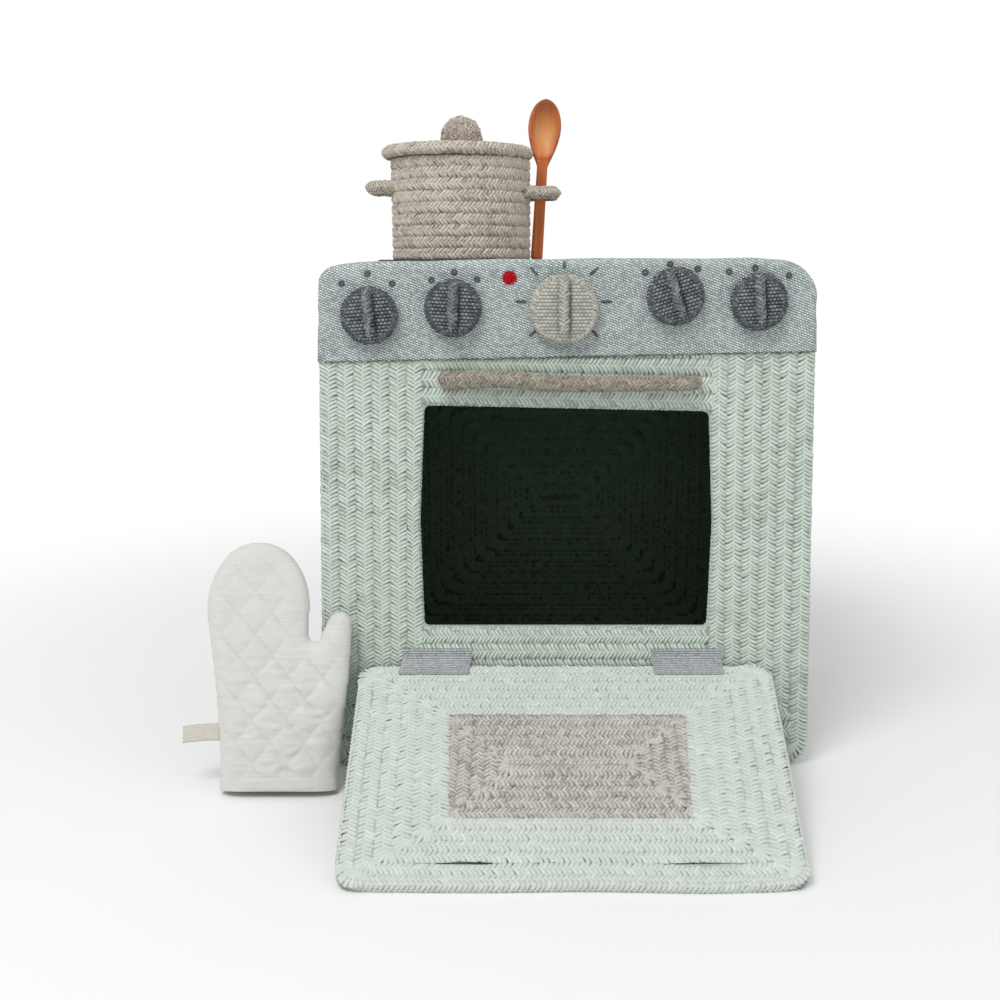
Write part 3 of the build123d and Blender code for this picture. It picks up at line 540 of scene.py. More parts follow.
def row_material(name, colour, across, row, stitch, origin=(0.0, 0.0, 0.0), radius=0.0):
    """Braided rows drawn on a plain CAD face along X, or round an upright axis at a radius."""
    made, tree, shader = new_material(name, 0.95)
    start = {"Vector": object_place(tree), "Location": tuple(-c for c in origin)}
    moved = node(tree, "ShaderNodeMapping", start).outputs[0]
    axes = node(tree, "ShaderNodeSeparateXYZ", {0: moved}).outputs
    run = axes["X"]
    if radius:
        run = maths(tree, "MULTIPLY", maths(tree, "ARCTAN2", axes["Y"], axes["X"]), radius)
    rows = placed(tree, rope_rows(), Along=run, Across=axes[across], Row=row, Stitch=stitch)
    fuzz = placed(tree, cotton_fuzz(), Fineness=1200.0)
    # Painted shade: the low spots of the rows are painted darker, in the grooves between stitches and rows;
    # each stitch's random tone varies it too
    value = maths(tree, "MULTIPLY", rows["Height"], maths(tree, "MULTIPLY_ADD", rows["Tone"], 0.4, 0.7))
    shown = ramped(tree, value, 0.15, 0.95)
    tone = blended(tree, shown, linear(darker(colour, 0.5)), linear(lighter(colour, 0.08)))
    height = maths(tree, "MULTIPLY_ADD", fuzz["Height"], 0.15, rows["Height"])
    painted(tree, shader, tone, height, 2.0 * MM, 0.8)
    return made


def cloth_material(name, colour, grain, rib, depth, contrast, sheen=0.1):
    """Woven cloth or ribbed tape, with painted shade between its raised grains; the attribute "shade" paints
    shade beside its folds.
    """
    made, tree, shader = new_material(name, 0.9, sheen)
    weave = placed(tree, woven_cloth(), Grain=grain, Rib=rib)
    fuzz = placed(tree, cotton_fuzz(), Fineness=1600.0)
    # Painted shade: the weave's low spots are painted darker than its raised grains; each grain also has its
    # own random tone
    grains = maths(tree, "MULTIPLY", weave["Height"], maths(tree, "MULTIPLY_ADD", weave["Tone"], 0.5, 0.6))
    value = maths(tree, "ADD", grains, maths(tree, "MULTIPLY_ADD", fuzz["Tone"], 0.5, -0.25))
    dark, pale = linear(darker(colour, 1.0 - contrast)), linear(lighter(colour, contrast * 0.45))
    tone = blended(tree, ramped(tree, value, 0.05, 0.95), dark, pale)
    # Painted shade where the shade attribute is set, beside the pinched folds of the knobs
    tone = blended(tree, attribute(tree, "shade"), tone, linear(darker(colour, 0.45)))
    height = maths(tree, "MULTIPLY_ADD", fuzz["Height"], 0.2, weave["Height"])
    painted(tree, shader, tone, height, depth, 0.9)
    return made


# Pieces


def link(name, mesh, material=None):
    made = bpy.data.objects.new(name, mesh)
    bpy.context.scene.collection.objects.link(made)
    if material:
        mesh.materials.append(material)
    return made


def smooth(mesh):
    mesh.polygons.foreach_set("use_smooth", [True] * len(mesh.polygons))
    mesh.update()


def finish_piece(piece, body, slot, *replaced):
    """Set a finished piece on its body."""
    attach(piece, body)
    if replaced:
        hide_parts(*replaced)
    return piece


def dress(material, *names):
    """Give CAD nodes a better material."""
    for name in names:
        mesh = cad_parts[name].data
        mesh.materials.clear()
        mesh.materials.append(material)


def socket_ids(tree):
    return {item.name: item.identifier for item in tree.interface.items_tree if item.in_out == "INPUT"}


def sewn(made, name, material=None):
    """A smooth object of a finished bmesh."""
    mesh = bpy.data.meshes.new(name)
    made.to_mesh(mesh)
    made.free()
    smooth(mesh)
    return link(name, mesh, material)


def skin(made, rings, closed=True, flip=False):
    """Faces between neighbouring rings of corners, ring by ring."""
    faces = []
    for low, high in zip(rings, rings[1:]):
        for index in range(len(low) if closed else len(low) - 1):
            after = (index + 1) % len(low)
            quad = (low[index], low[after], high[after], high[index])
            faces.append(made.faces.new(quad[:1] + quad[:0:-1] if flip else quad))
    return faces


def lay_map(faces, layer, place):
    """Set the cloth map of faces; place gives a corner's spot on the cloth, in metres."""
    for face in faces:
        for loop in face.loops:
            loop[layer].uv = place(loop.vert)


def braid_tree():
    """Geometry nodes that lay a left and a right strand at each stitch of the routes."""
    tree = bpy.data.node_groups.get("Braided rope")
    if tree:
        return tree
    tree = bpy.data.node_groups.new("Braided rope", "GeometryNodeTree")
    for socket, kind in BRAID_INPUTS.items():
        tree.interface.new_socket(socket, in_out="INPUT", socket_type="NodeSocket" + kind)
    tree.interface.new_socket("Braid", in_out="OUTPUT", socket_type="NodeSocketGeometry")
    start = tree.nodes.new("NodeGroupInput").outputs
    end = tree.nodes.new("NodeGroupOutput")

    def named(name, kind):
        found = node(tree, "GeometryNodeInputNamedAttribute", {"Name": name}, data_type=kind)
        return found.outputs["Attribute"]

    curve = node(tree, "GeometryNodeMeshToCurve", {"Mesh": start["Routes"]}).outputs["Curve"]
    spaced = {"Curve": curve, "Length": named("stitch", "FLOAT")}
    stitches = node(tree, "GeometryNodeResampleCurve", spaced, mode="LENGTH").outputs["Curve"]
    tangent = node(tree, "GeometryNodeInputTangent").outputs[0]
    ends = {0: tangent, 1: named("along", "FLOAT_VECTOR")}
    same = node(tree, "ShaderNodeVectorMath", ends, operation="DOT_PRODUCT").outputs["Value"]
    run = {0: tangent, "Scale": maths(tree, "SIGN", same)}
    forward = node(tree, "ShaderNodeVectorMath", run, operation="SCALE").outputs["Vector"]
    axes = node(
        tree,
        "FunctionNodeAxesToRotation",
        {"Primary Axis": named("facing", "FLOAT_VECTOR"), "Secondary Axis": forward},
        primary_axis="Z",
        secondary_axis="X",
    )
    width = named("row_width", "FLOAT")
    slack = maths(tree, "MULTIPLY", start["Looseness"], -1.0)
    both = tree.nodes.new("GeometryNodeJoinGeometry")
    for index, strand in enumerate(("Left strand", "Right strand")):
        seed = maths(tree, "ADD", start["Seed"], 7.0 * index)
        loose = {"Min": slack, "Max": start["Looseness"], "Seed": seed}
        jitter = node(tree, "FunctionNodeRandomValue", loose, data_type="FLOAT_VECTOR")
        turn = node(tree, "FunctionNodeEulerToRotation", {"Euler": jitter.outputs["Value"]})
        rotation = node(
            tree,
            "FunctionNodeRotateRotation",
            {"Rotation": axes.outputs["Rotation"], "Rotate By": turn.outputs["Rotation"]},
            rotation_space="LOCAL",
        )
        swell = node(tree, "FunctionNodeRandomValue", {2: 0.96, 3: 1.1, "Seed": seed}, data_type="FLOAT")
        size = node(tree, "ShaderNodeCombineXYZ", {0: swell.outputs[1], 1: width, 2: 1.0})
        shape = node(tree, "GeometryNodeObjectInfo", {"Object": start[strand]})
        laid = node(
            tree,
            "GeometryNodeInstanceOnPoints",
            {
                "Points": stitches,
                "Instance": shape.outputs["Geometry"],
                "Rotation": rotation.outputs["Rotation"],
                "Scale": size.outputs[0],
            },
        )
        tone = node(tree, "FunctionNodeRandomValue", {2: 0.0, 3: 1.0, "Seed": seed}, data_type="FLOAT")
        kept = node(
            tree,
            "GeometryNodeStoreNamedAttribute",
            {"Geometry": laid.outputs["Instances"], "Name": "strand", "Value": tone.outputs[1]},
            domain="INSTANCE",
            data_type="FLOAT",
        )
        tree.links.new(kept.outputs["Geometry"], both.inputs[0])
    real = node(tree, "GeometryNodeRealizeInstances", {"Geometry": both.outputs[0]}).outputs[0]
    dyed = node(tree, "GeometryNodeSetMaterial", {"Geometry": real, "Material": start["Material"]})
    tree.links.new(dyed.outputs[0], end.inputs[0])
    return tree


@dataclass
class Strand:
    """Sizes of one strand of a braid, in millimetres."""

    half: float
    stitch: float
    crest: float = 0.9
    drop: float = 1.0
    lean: float = 0.5
    depth: float = 1.2
    power: float = 5.0

    def shape(self, side):
        """Mesh of the strand that runs from the edge of the row to just past its middle."""
        points, gap_shades = [], []
        for share in STRAND_ALONG:
            shift = self.lean * self.half * sin(1.4 * share) + (0.0 if side > 0 else self.stitch / 2)
            ridge = self.crest - (self.crest + self.drop) * max(share, 0.0) ** self.power
            if share < 0:
                ridge -= 0.5 * self.depth
            for across, down, gap in STRAND_SECTION:
                # Painted shade: the strand's edges take the shade of the gaps beside them, and past the row's
                # edge the groove between rows is painted darker too
                gap_shades.append(max(gap, 0.3 if share > 1.0 else 0.0))
                along = (shift + across * self.stitch) * MM
                points.append((along, side * self.half * share * MM, (ridge + down * self.depth) * MM))
        count = len(STRAND_SECTION)
        faces = []
        for i in range(len(STRAND_ALONG) - 1):
            for first in range(i * count, (i + 1) * count - 1):
                quad = (first, first + 1, first + count + 1, first + count)
                faces.append(quad if side < 0 else quad[::-1])
        mesh = bpy.data.meshes.new("strand")
        mesh.from_pydata(points, [], faces)
        mesh.attributes.new("gap", "FLOAT", "POINT").data.foreach_set("value", gap_shades)
        smooth(mesh)
        return mesh


class Route:
    """The middle line of one rope row: points, facings and half widths in millimetres, and its bends.

    A bend is its first point, its last point and how much closer its stitches lie.
    """

    def __init__(self, points, facing, halves, closed=False, bends=()):
        self.points = [Vector(p) for p in points]
        self.facing = facing if isinstance(facing, list) else [Vector(facing)] * len(self.points)
        self.halves = halves if isinstance(halves, list) else [halves] * len(self.points)
        self.bends = bends
        self.closed = closed

    def along(self, index):
        last = len(self.points) - 1
        if self.closed:
            before, after = self.points[index - 1], self.points[(index + 1) % (last + 1)]
        else:
            before, after = self.points[max(index - 1, 0)], self.points[min(index + 1, last)]
        return (after - before).normalized()

    def stretches(self):
        """Straight runs and bends in turn: the indices of their points, and how close their stitches lie."""
        whole = list(range(len(self.points)))
        if not self.bends:
            return [(whole, 1.0)]
        found = []
        ends = [bend[0] for bend in self.bends[1:]]
        for (first, last, closeness), following in zip(self.bends, ends + [None]):
            found.append((whole[first : last + 1], closeness))
            if following is not None:
                found.append((whole[last : following + 1], 1.0))
        head, tail = whole[: self.bends[0][0] + 1], whole[self.bends[-1][1] :]
        if self.closed:
            return found + [(tail + head, 1.0)]
        return [(head, 1.0)] + found + [(tail, 1.0)]


def lay_braid(name, routes, strand, material, seed, looseness=0.07):
    """Braid a piece along its routes and give it back as one plain mesh object."""
    points, edges, facings, alongs, widths, stitches = [], [], [], [], [], []
    for route in routes:
        for indices, closeness in route.stretches():
            base = len(points)
            for place, index in enumerate(indices):
                points.append(route.points[index] * MM)
                facings.extend(route.facing[index])
                alongs.extend(route.along(index))
                widths.append(route.halves[index] / strand.half)
                stitches.append(strand.stitch * MM / closeness)
                if place:
                    edges.append((base + place - 1, base + place))
            if route.closed and not route.bends:
                edges.append((len(points) - 1, base))
    mesh = bpy.data.meshes.new(name + "_routes")
    mesh.from_pydata(points, edges, [])
    for key, values in (("facing", facings), ("along", alongs)):
        mesh.attributes.new(key, "FLOAT_VECTOR", "POINT").data.foreach_set("vector", values)
    for key, values in (("row_width", widths), ("stitch", stitches)):
        mesh.attributes.new(key, "FLOAT", "POINT").data.foreach_set("value", values)
    carrier = link(name + "_routes", mesh)
    left = link(name + "_left", strand.shape(1))
    right = link(name + "_right", strand.shape(-1))
    nodes = carrier.modifiers.new("Braid", "NODES")
    nodes.node_group = braid_tree()
    ids = socket_ids(nodes.node_group)
    values = {"Left strand": left, "Right strand": right, "Material": material}
    for key, value in (values | {"Looseness": looseness, "Seed": seed}).items():
        nodes[ids[key]] = value
    piece = link(name, plain_mesh(carrier))
    carrier.modifiers.remove(nodes)
    for helper in (carrier, left, right):
        helper_mesh = helper.data
        bpy.data.objects.remove(helper)
        bpy.data.meshes.remove(helper_mesh)
    if len(piece.data.polygons) == 0:
        raise RuntimeError(f"{name}: the braid is empty")
    return piece


def plain_mesh(thing):
    """Mesh of an object with its modifiers applied."""
    bpy.context.view_layer.update()
    graph = bpy.context.evaluated_depsgraph_get()
    shown = thing.evaluated_get(graph)
    return bpy.data.meshes.new_from_object(shown, preserve_all_data_layers=True, depsgraph=graph)


def modified(piece, kind, **settings):
    """Apply one modifier to a piece."""
    modifier = piece.modifiers.new(kind, kind)
    for key, value in settings.items():
        setattr(modifier, key, value)
    before, after = piece.data, plain_mesh(piece)
    piece.modifiers.remove(modifier)
    piece.data = after
    bpy.data.meshes.remove(before)
    smooth(after)
    return piece


def joined(name, *pieces):
    """One object of several finished meshes."""
    chosen = list(pieces)
    with bpy.context.temp_override(
        active_object=chosen[0], object=chosen[0], selected_objects=chosen, selected_editable_objects=chosen
    ):
        bpy.ops.object.join()
    chosen[0].name = name
    return chosen[0]


def turned(corners, radius, halves, closed=True, widen=0.42):
    """Points, half widths and bends of a row with round corners, wider there; halves[i] follows corner i."""
    points, widths, bends = [], [], []
    count = len(corners)
    for index, corner in enumerate(Vector(c) for c in corners):
        if not closed and index in (0, count - 1):
            points.append(corner)
            widths.append(halves[min(index, count - 2)])
            continue
        before = Vector(corners[index - 1]) - corner
        after = Vector(corners[(index + 1) % count]) - corner
        cut = min(radius, before.length * 0.45, after.length * 0.45)
        start = corner + before.normalized() * cut
        end = corner + after.normalized() * cut
        bend = before.angle(-after) / (pi / 2)
        closeness = 1 + bend * min(0.8 * halves[index - 1] * (1 + widen) / (0.7 * cut), 1.2)
        if closeness > 1.2:
            bends.append((len(points), len(points) + CORNER_STEPS, closeness))
        for step in range(CORNER_STEPS + 1):
            t = step / CORNER_STEPS
            middle = sin(pi * t) * min(bend, 1.0)
            half = halves[index - 1] * (1 - t) + halves[index % len(halves)] * t
            points.append(start * (1 - t) ** 2 + corner * (2 * t * (1 - t)) + end * t * t)
            widths.append(half * (1 + widen * middle))
    return points, widths, bends


def bent_row(place, facing, corners, radius, halves, closed=True, widen=0.42):
    """A row with rounded corners; place carries its flat points onto the part."""
    points, widths, bends = turned(corners, radius, halves, closed, widen)
    return Route([place(*p) for p in points], facing, widths, closed, bends)


def circle_route(centre, radius, height, half, slope=0.0, count=72, wobble=0.0):
    """A level ring row round centre; slope turns its face up, in radians."""
    points, facing = [], []
    for turn in turns(count):
        out = Vector((cos(turn), sin(turn), 0.0))
        lift = wobble * sin(3 * turn + height)
        points.append(centre + out * radius + Vector((0.0, 0.0, height + lift)))
        facing.append(out * cos(slope) + Vector((0.0, 0.0, sin(slope))))
    return Route(points, facing, half, closed=True)


def tube_routes(middle, radii, rows=4):
    """Rows round a rope whose middle line is given, with its radius at each point."""
    line = [Vector(p) for p in middle]
    routes = []
    for row in range(rows):
        points, facing = [], []
        for index, point in enumerate(line):
            ahead = (line[min(index + 1, len(line) - 1)] - line[max(index - 1, 0)]).normalized()
            up = Vector((0.0, 0.0, 1.0))
            aside = ahead.cross(up).normalized()
            up = aside.cross(ahead)
            turn = (row + 0.5) * 2 * pi / rows
            out = aside * cos(turn) + up * sin(turn)
            points.append(point + out * radii[index])
            facing.append(out)
        routes.append(Route(points, facing, [radius * pi / rows for radius in radii]))
    return routes


def tube_strand(radius, stitch, rows=4):
    drop = 0.92 * radius * (1 - cos(pi / rows))
    return Strand(radius * pi / rows, stitch, crest=0.5, drop=drop, lean=0.75, depth=0.9, power=2.0)


def side_half(height):
    """Half width of the cabinet at a height, without its rounded corners."""
    return FLOOR_HALF - SIDE_LEAN * height


def side_path(side, low_turn=58.0):
    """Outline of one cabinet side from its rounded floor corner up to the band, with outward directions."""
    slope = hypot(1.0, SIDE_LEAN)
    out = Vector((side / slope, 0.0, SIDE_LEAN / slope))
    radius = CORNER_RADIUS
    centre = Vector((side * (FLOOR_HALF - (radius + radius * SIDE_LEAN / slope) * slope), 0.0, radius))
    points, facing = [], []
    steps = 8
    for index in range(steps + 1):
        turn = radians(low_turn) * (1 - index / steps)
        direction = Vector((out.x * cos(turn), 0.0, out.z * cos(turn) - sin(turn)))
        direction.normalize()
        points.append(centre + direction * radius)
        facing.append(direction)
    points.append(Vector((side * side_half(ROPE_TOP), 0.0, ROPE_TOP)))
    facing.append(out)
    return points, facing


def mouth_half(height):
    """Half width of the oven mouth at a height, carried on above and below it."""
    share = (height - MOUTH_LOW) / (MOUTH_HIGH - MOUTH_LOW)
    return MOUTH_LOW_HALF + (MOUTH_HIGH_HALF - MOUTH_LOW_HALF) * share


def front_place(x, height):
    return Vector((x, FRONT_Y, height))


def front_routes():
    """Upright rows beside the oven mouth, level rows over and under it, and long rows along the floor."""
    routes = []
    lowest = MOUTH_LOW - MOUTH_ROWS * ROW
    beside = MOUTH_ROWS * ROW
    for side in (-1, 1):
        for column in range(MOUTH_ROWS):
            points, halves = [], []
            for step in range(17):
                height = lowest + (ROPE_TOP - lowest) * step / 16
                inner = mouth_half(height) + column * ROW
                outer = inner + ROW
                if column == 0:
                    share = (height - MOUTH_LOW) / (MOUTH_HIGH - MOUTH_LOW)
                    inner += MOUTH_RIM + MOUTH_BOW * max(0.0, 1.0 - abs(2.0 * share - 1.0))
                points.append(front_place(side * (inner + outer) / 2, height))
                halves.append((outer - inner) / 2)
            routes.append(Route(points[::-side], FORWARD, halves[::-side]))
        outline, outs = side_path(side, 84.0)
        points, halves = [], []
        for point, out in zip(outline, outs):
            height = max(point.z, lowest)
            half = (side_half(height) - mouth_half(height) - beside) / 2
            points.append(front_place(point.x - out.x * half, point.z - out.z * half))
            halves.append(half)
        routes.append(Route(points[::-side], FORWARD, halves[::-side]))
    for edge, up, rise, count in ((MOUTH_LOW, -1, 0.0, MOUTH_ROWS), (MOUTH_HIGH, 1, MOUTH_LEFT_RISE, 4)):
        for row in range(count):
            height = edge + up * (row + 0.5) * ROW
            half = mouth_half(height) + 1.0
            rim = MOUTH_RIM if row == 0 else 0.0
            ends = [front_place(-half, height + rise + up * rim), front_place(half, height + up * rim)]
            routes.append(Route(ends[::up], FORWARD, ROW / 2 - rim))
    for row, height in enumerate((lowest - 7.2, lowest - 21.6, lowest - 36.0, 6.4)):
        half = side_half(height) + mouth_half(lowest) + beside - side_half(lowest) + 1.0
        if height < CORNER_RADIUS:
            half = 189.3 + (6.0 if height > CORNER_RADIUS / 2 else -1.0)
        direction = 1 if row % 2 else -1
        ends = [front_place(-direction * half, height), front_place(direction * half, height)]
        routes.append(Route(ends, FORWARD, 6.2 if row == 3 else ROW / 2))
    return routes


def mouth_lip_routes():
    """The row that rolls round the edge of the oven mouth."""
    corners = [
        (MOUTH_LOW_HALF, MOUTH_LOW),
        (-MOUTH_LOW_HALF, MOUTH_LOW),
        (-(MOUTH_LOW_HALF + MOUTH_HIGH_HALF) / 2 - MOUTH_BOW, (MOUTH_LOW + MOUTH_HIGH) / 2),
        (-MOUTH_HIGH_HALF, MOUTH_HIGH + MOUTH_LEFT_RISE),
        (MOUTH_HIGH_HALF, MOUTH_HIGH),
        ((MOUTH_LOW_HALF + MOUTH_HIGH_HALF) / 2 + MOUTH_BOW, (MOUTH_LOW + MOUTH_HIGH) / 2),
    ]
    points, _, bends = turned(corners, 7.0, [WALL / 2] * 6)
    flat = [Vector((p[0], FRONT_Y + WALL / 2 + 0.6, p[1])) for p in points]
    facing = []
    for index, point in enumerate(flat):
        ahead = (flat[(index + 1) % len(flat)] - flat[index - 1]).normalized()
        inward = Vector((0.0, 1.0, 0.0)).cross(ahead)
        middle = Vector((0.0, point.y, (MOUTH_LOW + MOUTH_HIGH) / 2))
        facing.append(inward if inward.dot(middle - point) > 0 else -inward)
    return [Route(flat, facing, WALL / 2 + 0.4, True, bends)]


def side_rows(side, depths, half):
    """Upright rows round one side of the cabinet, each at its own depth."""
    points, facing = side_path(side)
    return [Route([p + Vector((0.0, y, 0.0)) for p in points], facing, half) for y in depths]


def edge_routes(y):
    """Rows along the two outer edges of a panel."""
    half = WALL / 2 + 0.2
    return side_rows(-1, [y], half) + side_rows(1, [y], half)


def wall_routes(side):
    """Upright rows of a side wall, between the front and the back panel."""
    first = FRONT_Y + WALL
    pitch = (BACK_Y - WALL - first) / WALL_ROWS
    return side_rows(side, [first + pitch * (row + 0.5) for row in range(WALL_ROWS)], pitch / 2)


def back_routes():
    """The flat coil of the back, cut off under the rear band, with a wedge in its middle."""
    routes = []
    outward = (0.0, 1.0, 0.0)

    def place(x, height):
        return Vector((x, BACK_Y, height))

    for row in range(14):
        reach = (row + 0.5) * ROW
        low, high = FLOOR_HALF - reach, TOP_HALF - reach
        rim, widen = (1.2, 0.15) if row == 0 else (0.0, 0.4)
        bottom, top = reach + rim, HEIGHT - reach
        radius = max(9.0, 30.0 - 0.4 * reach)
        closed = top <= ROPE_TOP
        if closed:
            corners = [(-low, bottom), (low, bottom), (high, top), (-high, top)]
        else:
            cut = high + (low - high) * (top - ROPE_TOP) / (top - bottom)
            corners = [(-cut, ROPE_TOP), (-low, bottom), (low, bottom), (cut, ROPE_TOP)]
        halves = [ROW / 2 - rim] * (4 if closed else 3)
        routes.append(bent_row(place, outward, corners, radius, halves, closed, widen))
    routes.append(Route([place(0.0, 200.5), place(0.0, 236.0)], outward, [12.0, 2.0]))
    return routes


class DoorFrame:
    """Places on the open door: x across, run from hinge to free edge, and lift over its inner face."""

    inside = Vector((0.0, -sin(DOOR_SLOPE), cos(DOOR_SLOPE)))
    outward = Vector((0.0, -cos(DOOR_SLOPE), -sin(DOOR_SLOPE)))
    origin = HINGE - inside * 1.6

    @classmethod
    def place(cls, x, run, lift=0.0):
        return cls.origin + Vector((x, 0.0, 0.0)) + cls.outward * run + cls.inside * lift


def door_routes(face):
    """Rows round the window on one face of the door; the rows beside the pull slot bend away from it."""
    routes = []
    step_x = (DOOR_HINGE_HALF - WINDOW_HALF) / 6
    step_run = (DOOR_END - DOOR_START - 2 * WINDOW_HALF_LENGTH) / 2 / 6
    lift = 0.0 if face > 0 else -WALL
    facing = DoorFrame.inside * face
    for row in range(6):
        rim = 0.7 if row == 0 else 0.0
        inset_x, inset_run = (row + 0.5) * step_x + rim, (row + 0.5) * step_run + rim
        hinge, free = DOOR_HINGE_HALF - inset_x, DOOR_FREE_HALF - inset_x
        start, end = DOOR_START + inset_run, DOOR_END - inset_run
        corners = [(-hinge, start), (-free, end), (free, end), (hinge, start)]
        radius = max(20.0 - inset_x * 0.7, 6.0)
        runs = [DOOR_OVERLAP * step / 2 - rim for step in (step_x, step_run)] * 2
        points, halves, bends = turned(corners, radius, runs)
        if row < len(SLOT_BENDS):
            points, halves, bends = bowed(points, halves, bends, end, *SLOT_BENDS[row])
        places = [DoorFrame.place(p[0], p[1], lift) for p in points]
        routes.append(Route(places, facing, halves, True, bends))
    return routes


def door_wave(x):
    """How far the free edge of the soft door waves out."""
    inner = max(0.0, 1.0 - (x / 160.0) ** 4)
    return inner * (1.3 + 1.3 * bell(x, 98.0, 30.0) - 1.3 * bell(x, 5.0, 40.0))


def bowed(points, halves, bends, end, side, share):
    """Wave the free-edge run of a row, and bend it away from the ends of the slot."""
    at = 0
    while abs(points[at][1] - end) >= 0.5 or (points[at + 1] - points[at]).length <= 100:
        at += 1
    first, last = points[at], points[at + 1]
    run, thin = [], []
    for step in range(1, 36):
        x = first[0] + (last[0] - first[0]) * step / 36
        gap = bell(x, -78.0, 18.0) + 0.7 * bell(x, 94.0, 19.0)
        run.append(Vector((x, end + side * gap + share * door_wave(x))))
        thin.append(halves[at] - abs(side) * gap)
    moved = [tuple(i + (len(run) if i > at else 0) for i in bend[:2]) + bend[2:] for bend in bends]
    return points[: at + 1] + run + points[at + 1 :], halves[: at + 1] + thin + halves[at + 1 :], moved


def door_edge_routes():
    """The row round the outer edge of the door."""
    corners = [
        (-DOOR_HINGE_HALF, DOOR_START),
        (-DOOR_FREE_HALF, DOOR_END),
        (DOOR_FREE_HALF, DOOR_END),
        (DOOR_HINGE_HALF, DOOR_START),
    ]
    points = []
    each = CORNER_STEPS + 1
    for index, radius in enumerate((16.0, 24.0, 24.0, 16.0)):
        rounded, _, _ = turned(corners, radius, [1.0] * 4)
        points.extend(rounded[index * each : index * each + each])
        if index == 1:
            points.extend(Vector((x, DOOR_END + door_wave(x))) for x in range(-140, 141, 8))
    facing = []
    middle = Vector((0.0, (DOOR_START + DOOR_END) / 2))
    for index, point in enumerate(points):
        ahead = (points[(index + 1) % len(points)] - points[index - 1]).normalized()
        out = Vector((ahead.y, -ahead.x))
        if out.dot(point - middle) < 0:
            out = -out
        facing.append(Vector((out.x, 0.0, 0.0)) + DoorFrame.outward * out.y)
    places = [DoorFrame.place(p[0], p[1], -WALL / 2) for p in points]
    return [Route(places, facing, WALL / 2 + 0.5, closed=True)]


def window_routes(face):
    """Rows of the door window on one face."""
    routes = []
    step = WINDOW_HALF_LENGTH / 5
    middle = (DOOR_START + DOOR_END) / 2
    lift = -1.0 if face > 0 else -WALL + 1.0
    facing = DoorFrame.inside * face

    def place(x, run):
        return DoorFrame.place(x, run, lift)

    for row in range(5):
        inset = (row + 0.5) * step
        wide, long = WINDOW_HALF - inset, WINDOW_HALF_LENGTH - inset
        low, high = middle - long, middle + long
        corners = [(-wide, low), (-wide, high), (wide, high), (wide, low)]
        routes.append(bent_row(place, facing, corners, 6.0, [step / 2] * 4))
    reach = WINDOW_HALF - WINDOW_HALF_LENGTH + 1.0
    middle_line = [DoorFrame.place(x, middle, lift - 0.4 * face) for x in (-reach, reach)]
    routes.append(Route(middle_line, facing, 2.6))
    return routes


class KITCHEN_OT_cabinet(bpy.types.Operator):
    """Braid the rope rows of the cabinet's front, walls and back"""

    bl_idname = "kitchen.cabinet"
    bl_label = "Cabinet rope"

    def execute(self, context):
        rope = context.scene.kitchen_rope
        mint = braid_material("mint_braid", rope.mint, 0.16, rope.mint_shade, rope.mint_light, 0.9)
        core = core_material("mint_core", darker(rope.mint, 0.88))
        dress(core, "front_panel", "back_panel", "left_wall", "right_wall")
        stitch = rope.panel_stitch / MM
        panel = Strand(ROW / 2, stitch, crest=rope.crest / MM, drop=0.5)
        edge = Strand(WALL / 2, stitch, crest=0.8, drop=2.0, power=2.2)
        rows = {
            "front_rope": (front_routes(), panel),
            "left_wall_rope": (wall_routes(-1), panel),
            "right_wall_rope": (wall_routes(1), panel),
            "back_rope": (back_routes(), panel),
            "front_edge_rope": (mouth_lip_routes() + edge_routes(FRONT_Y + WALL / 2), edge),
            "back_edge_rope": (edge_routes(BACK_Y - WALL / 2), edge),
        }
        for index, (name, (routes, strand)) in enumerate(rows.items()):
            piece = lay_braid(name, routes, strand, mint, rope.seed + 11 * index)
            finish_piece(piece, "cabinet", "rope_mint")
        lined = row_material("mint_rows", rope.mint, "Y", ROW * MM, rope.panel_stitch)
        dress(lined, "base_panel", "top_panel")
        return {"FINISHED"}


class KITCHEN_OT_oven(bpy.types.Operator):
    """Finish the dark rope inside the oven"""

    bl_idname = "kitchen.oven"
    bl_label = "Oven inside"

    def execute(self, context):
        rope = context.scene.kitchen_rope
        stitch = 3.2
        dress(row_material("oven_rows", rope.oven, "Y", LINING_ROW * MM, stitch * MM), "oven_lining")
        dress(core_material("oven_core", darker(rope.oven, 0.95)), "oven_back")
        strand = Strand(OVEN_ROW / 2, stitch, crest=0.5, drop=0.7, depth=0.6, power=3.0)
        shade, light = darker(rope.oven, 0.85), lighter(rope.oven, 0.04)
        # The oven's rope is painted paler low down: painted light on the lower back of the oven
        dark = braid_material("oven_braid", rope.oven, 0.06, shade, light, 0.15, low=lighter(rope.oven, 0.13))

        def place(x, height):
            return Vector((x, OVEN_BACK_Y, height))

        routes = []
        for row in range(13):
            reach = (row + 0.5) * OVEN_ROW
            wide, low, high = OVEN_COIL_CORE + reach, OVEN_COIL_HEIGHT - reach, OVEN_COIL_HEIGHT + reach
            corners = [(wide, low), (-wide, low), (-wide, high), (wide, high)]
            radius = 6.0 + 0.2 * reach
            routes.append(bent_row(place, FORWARD, corners, radius, [OVEN_ROW / 2] * 4, True, 0.5))
        piece = lay_braid("oven_back_rope", routes, strand, dark, rope.seed + 5)
        finish_piece(piece, "cabinet", "rope_dark")
        return {"FINISHED"}


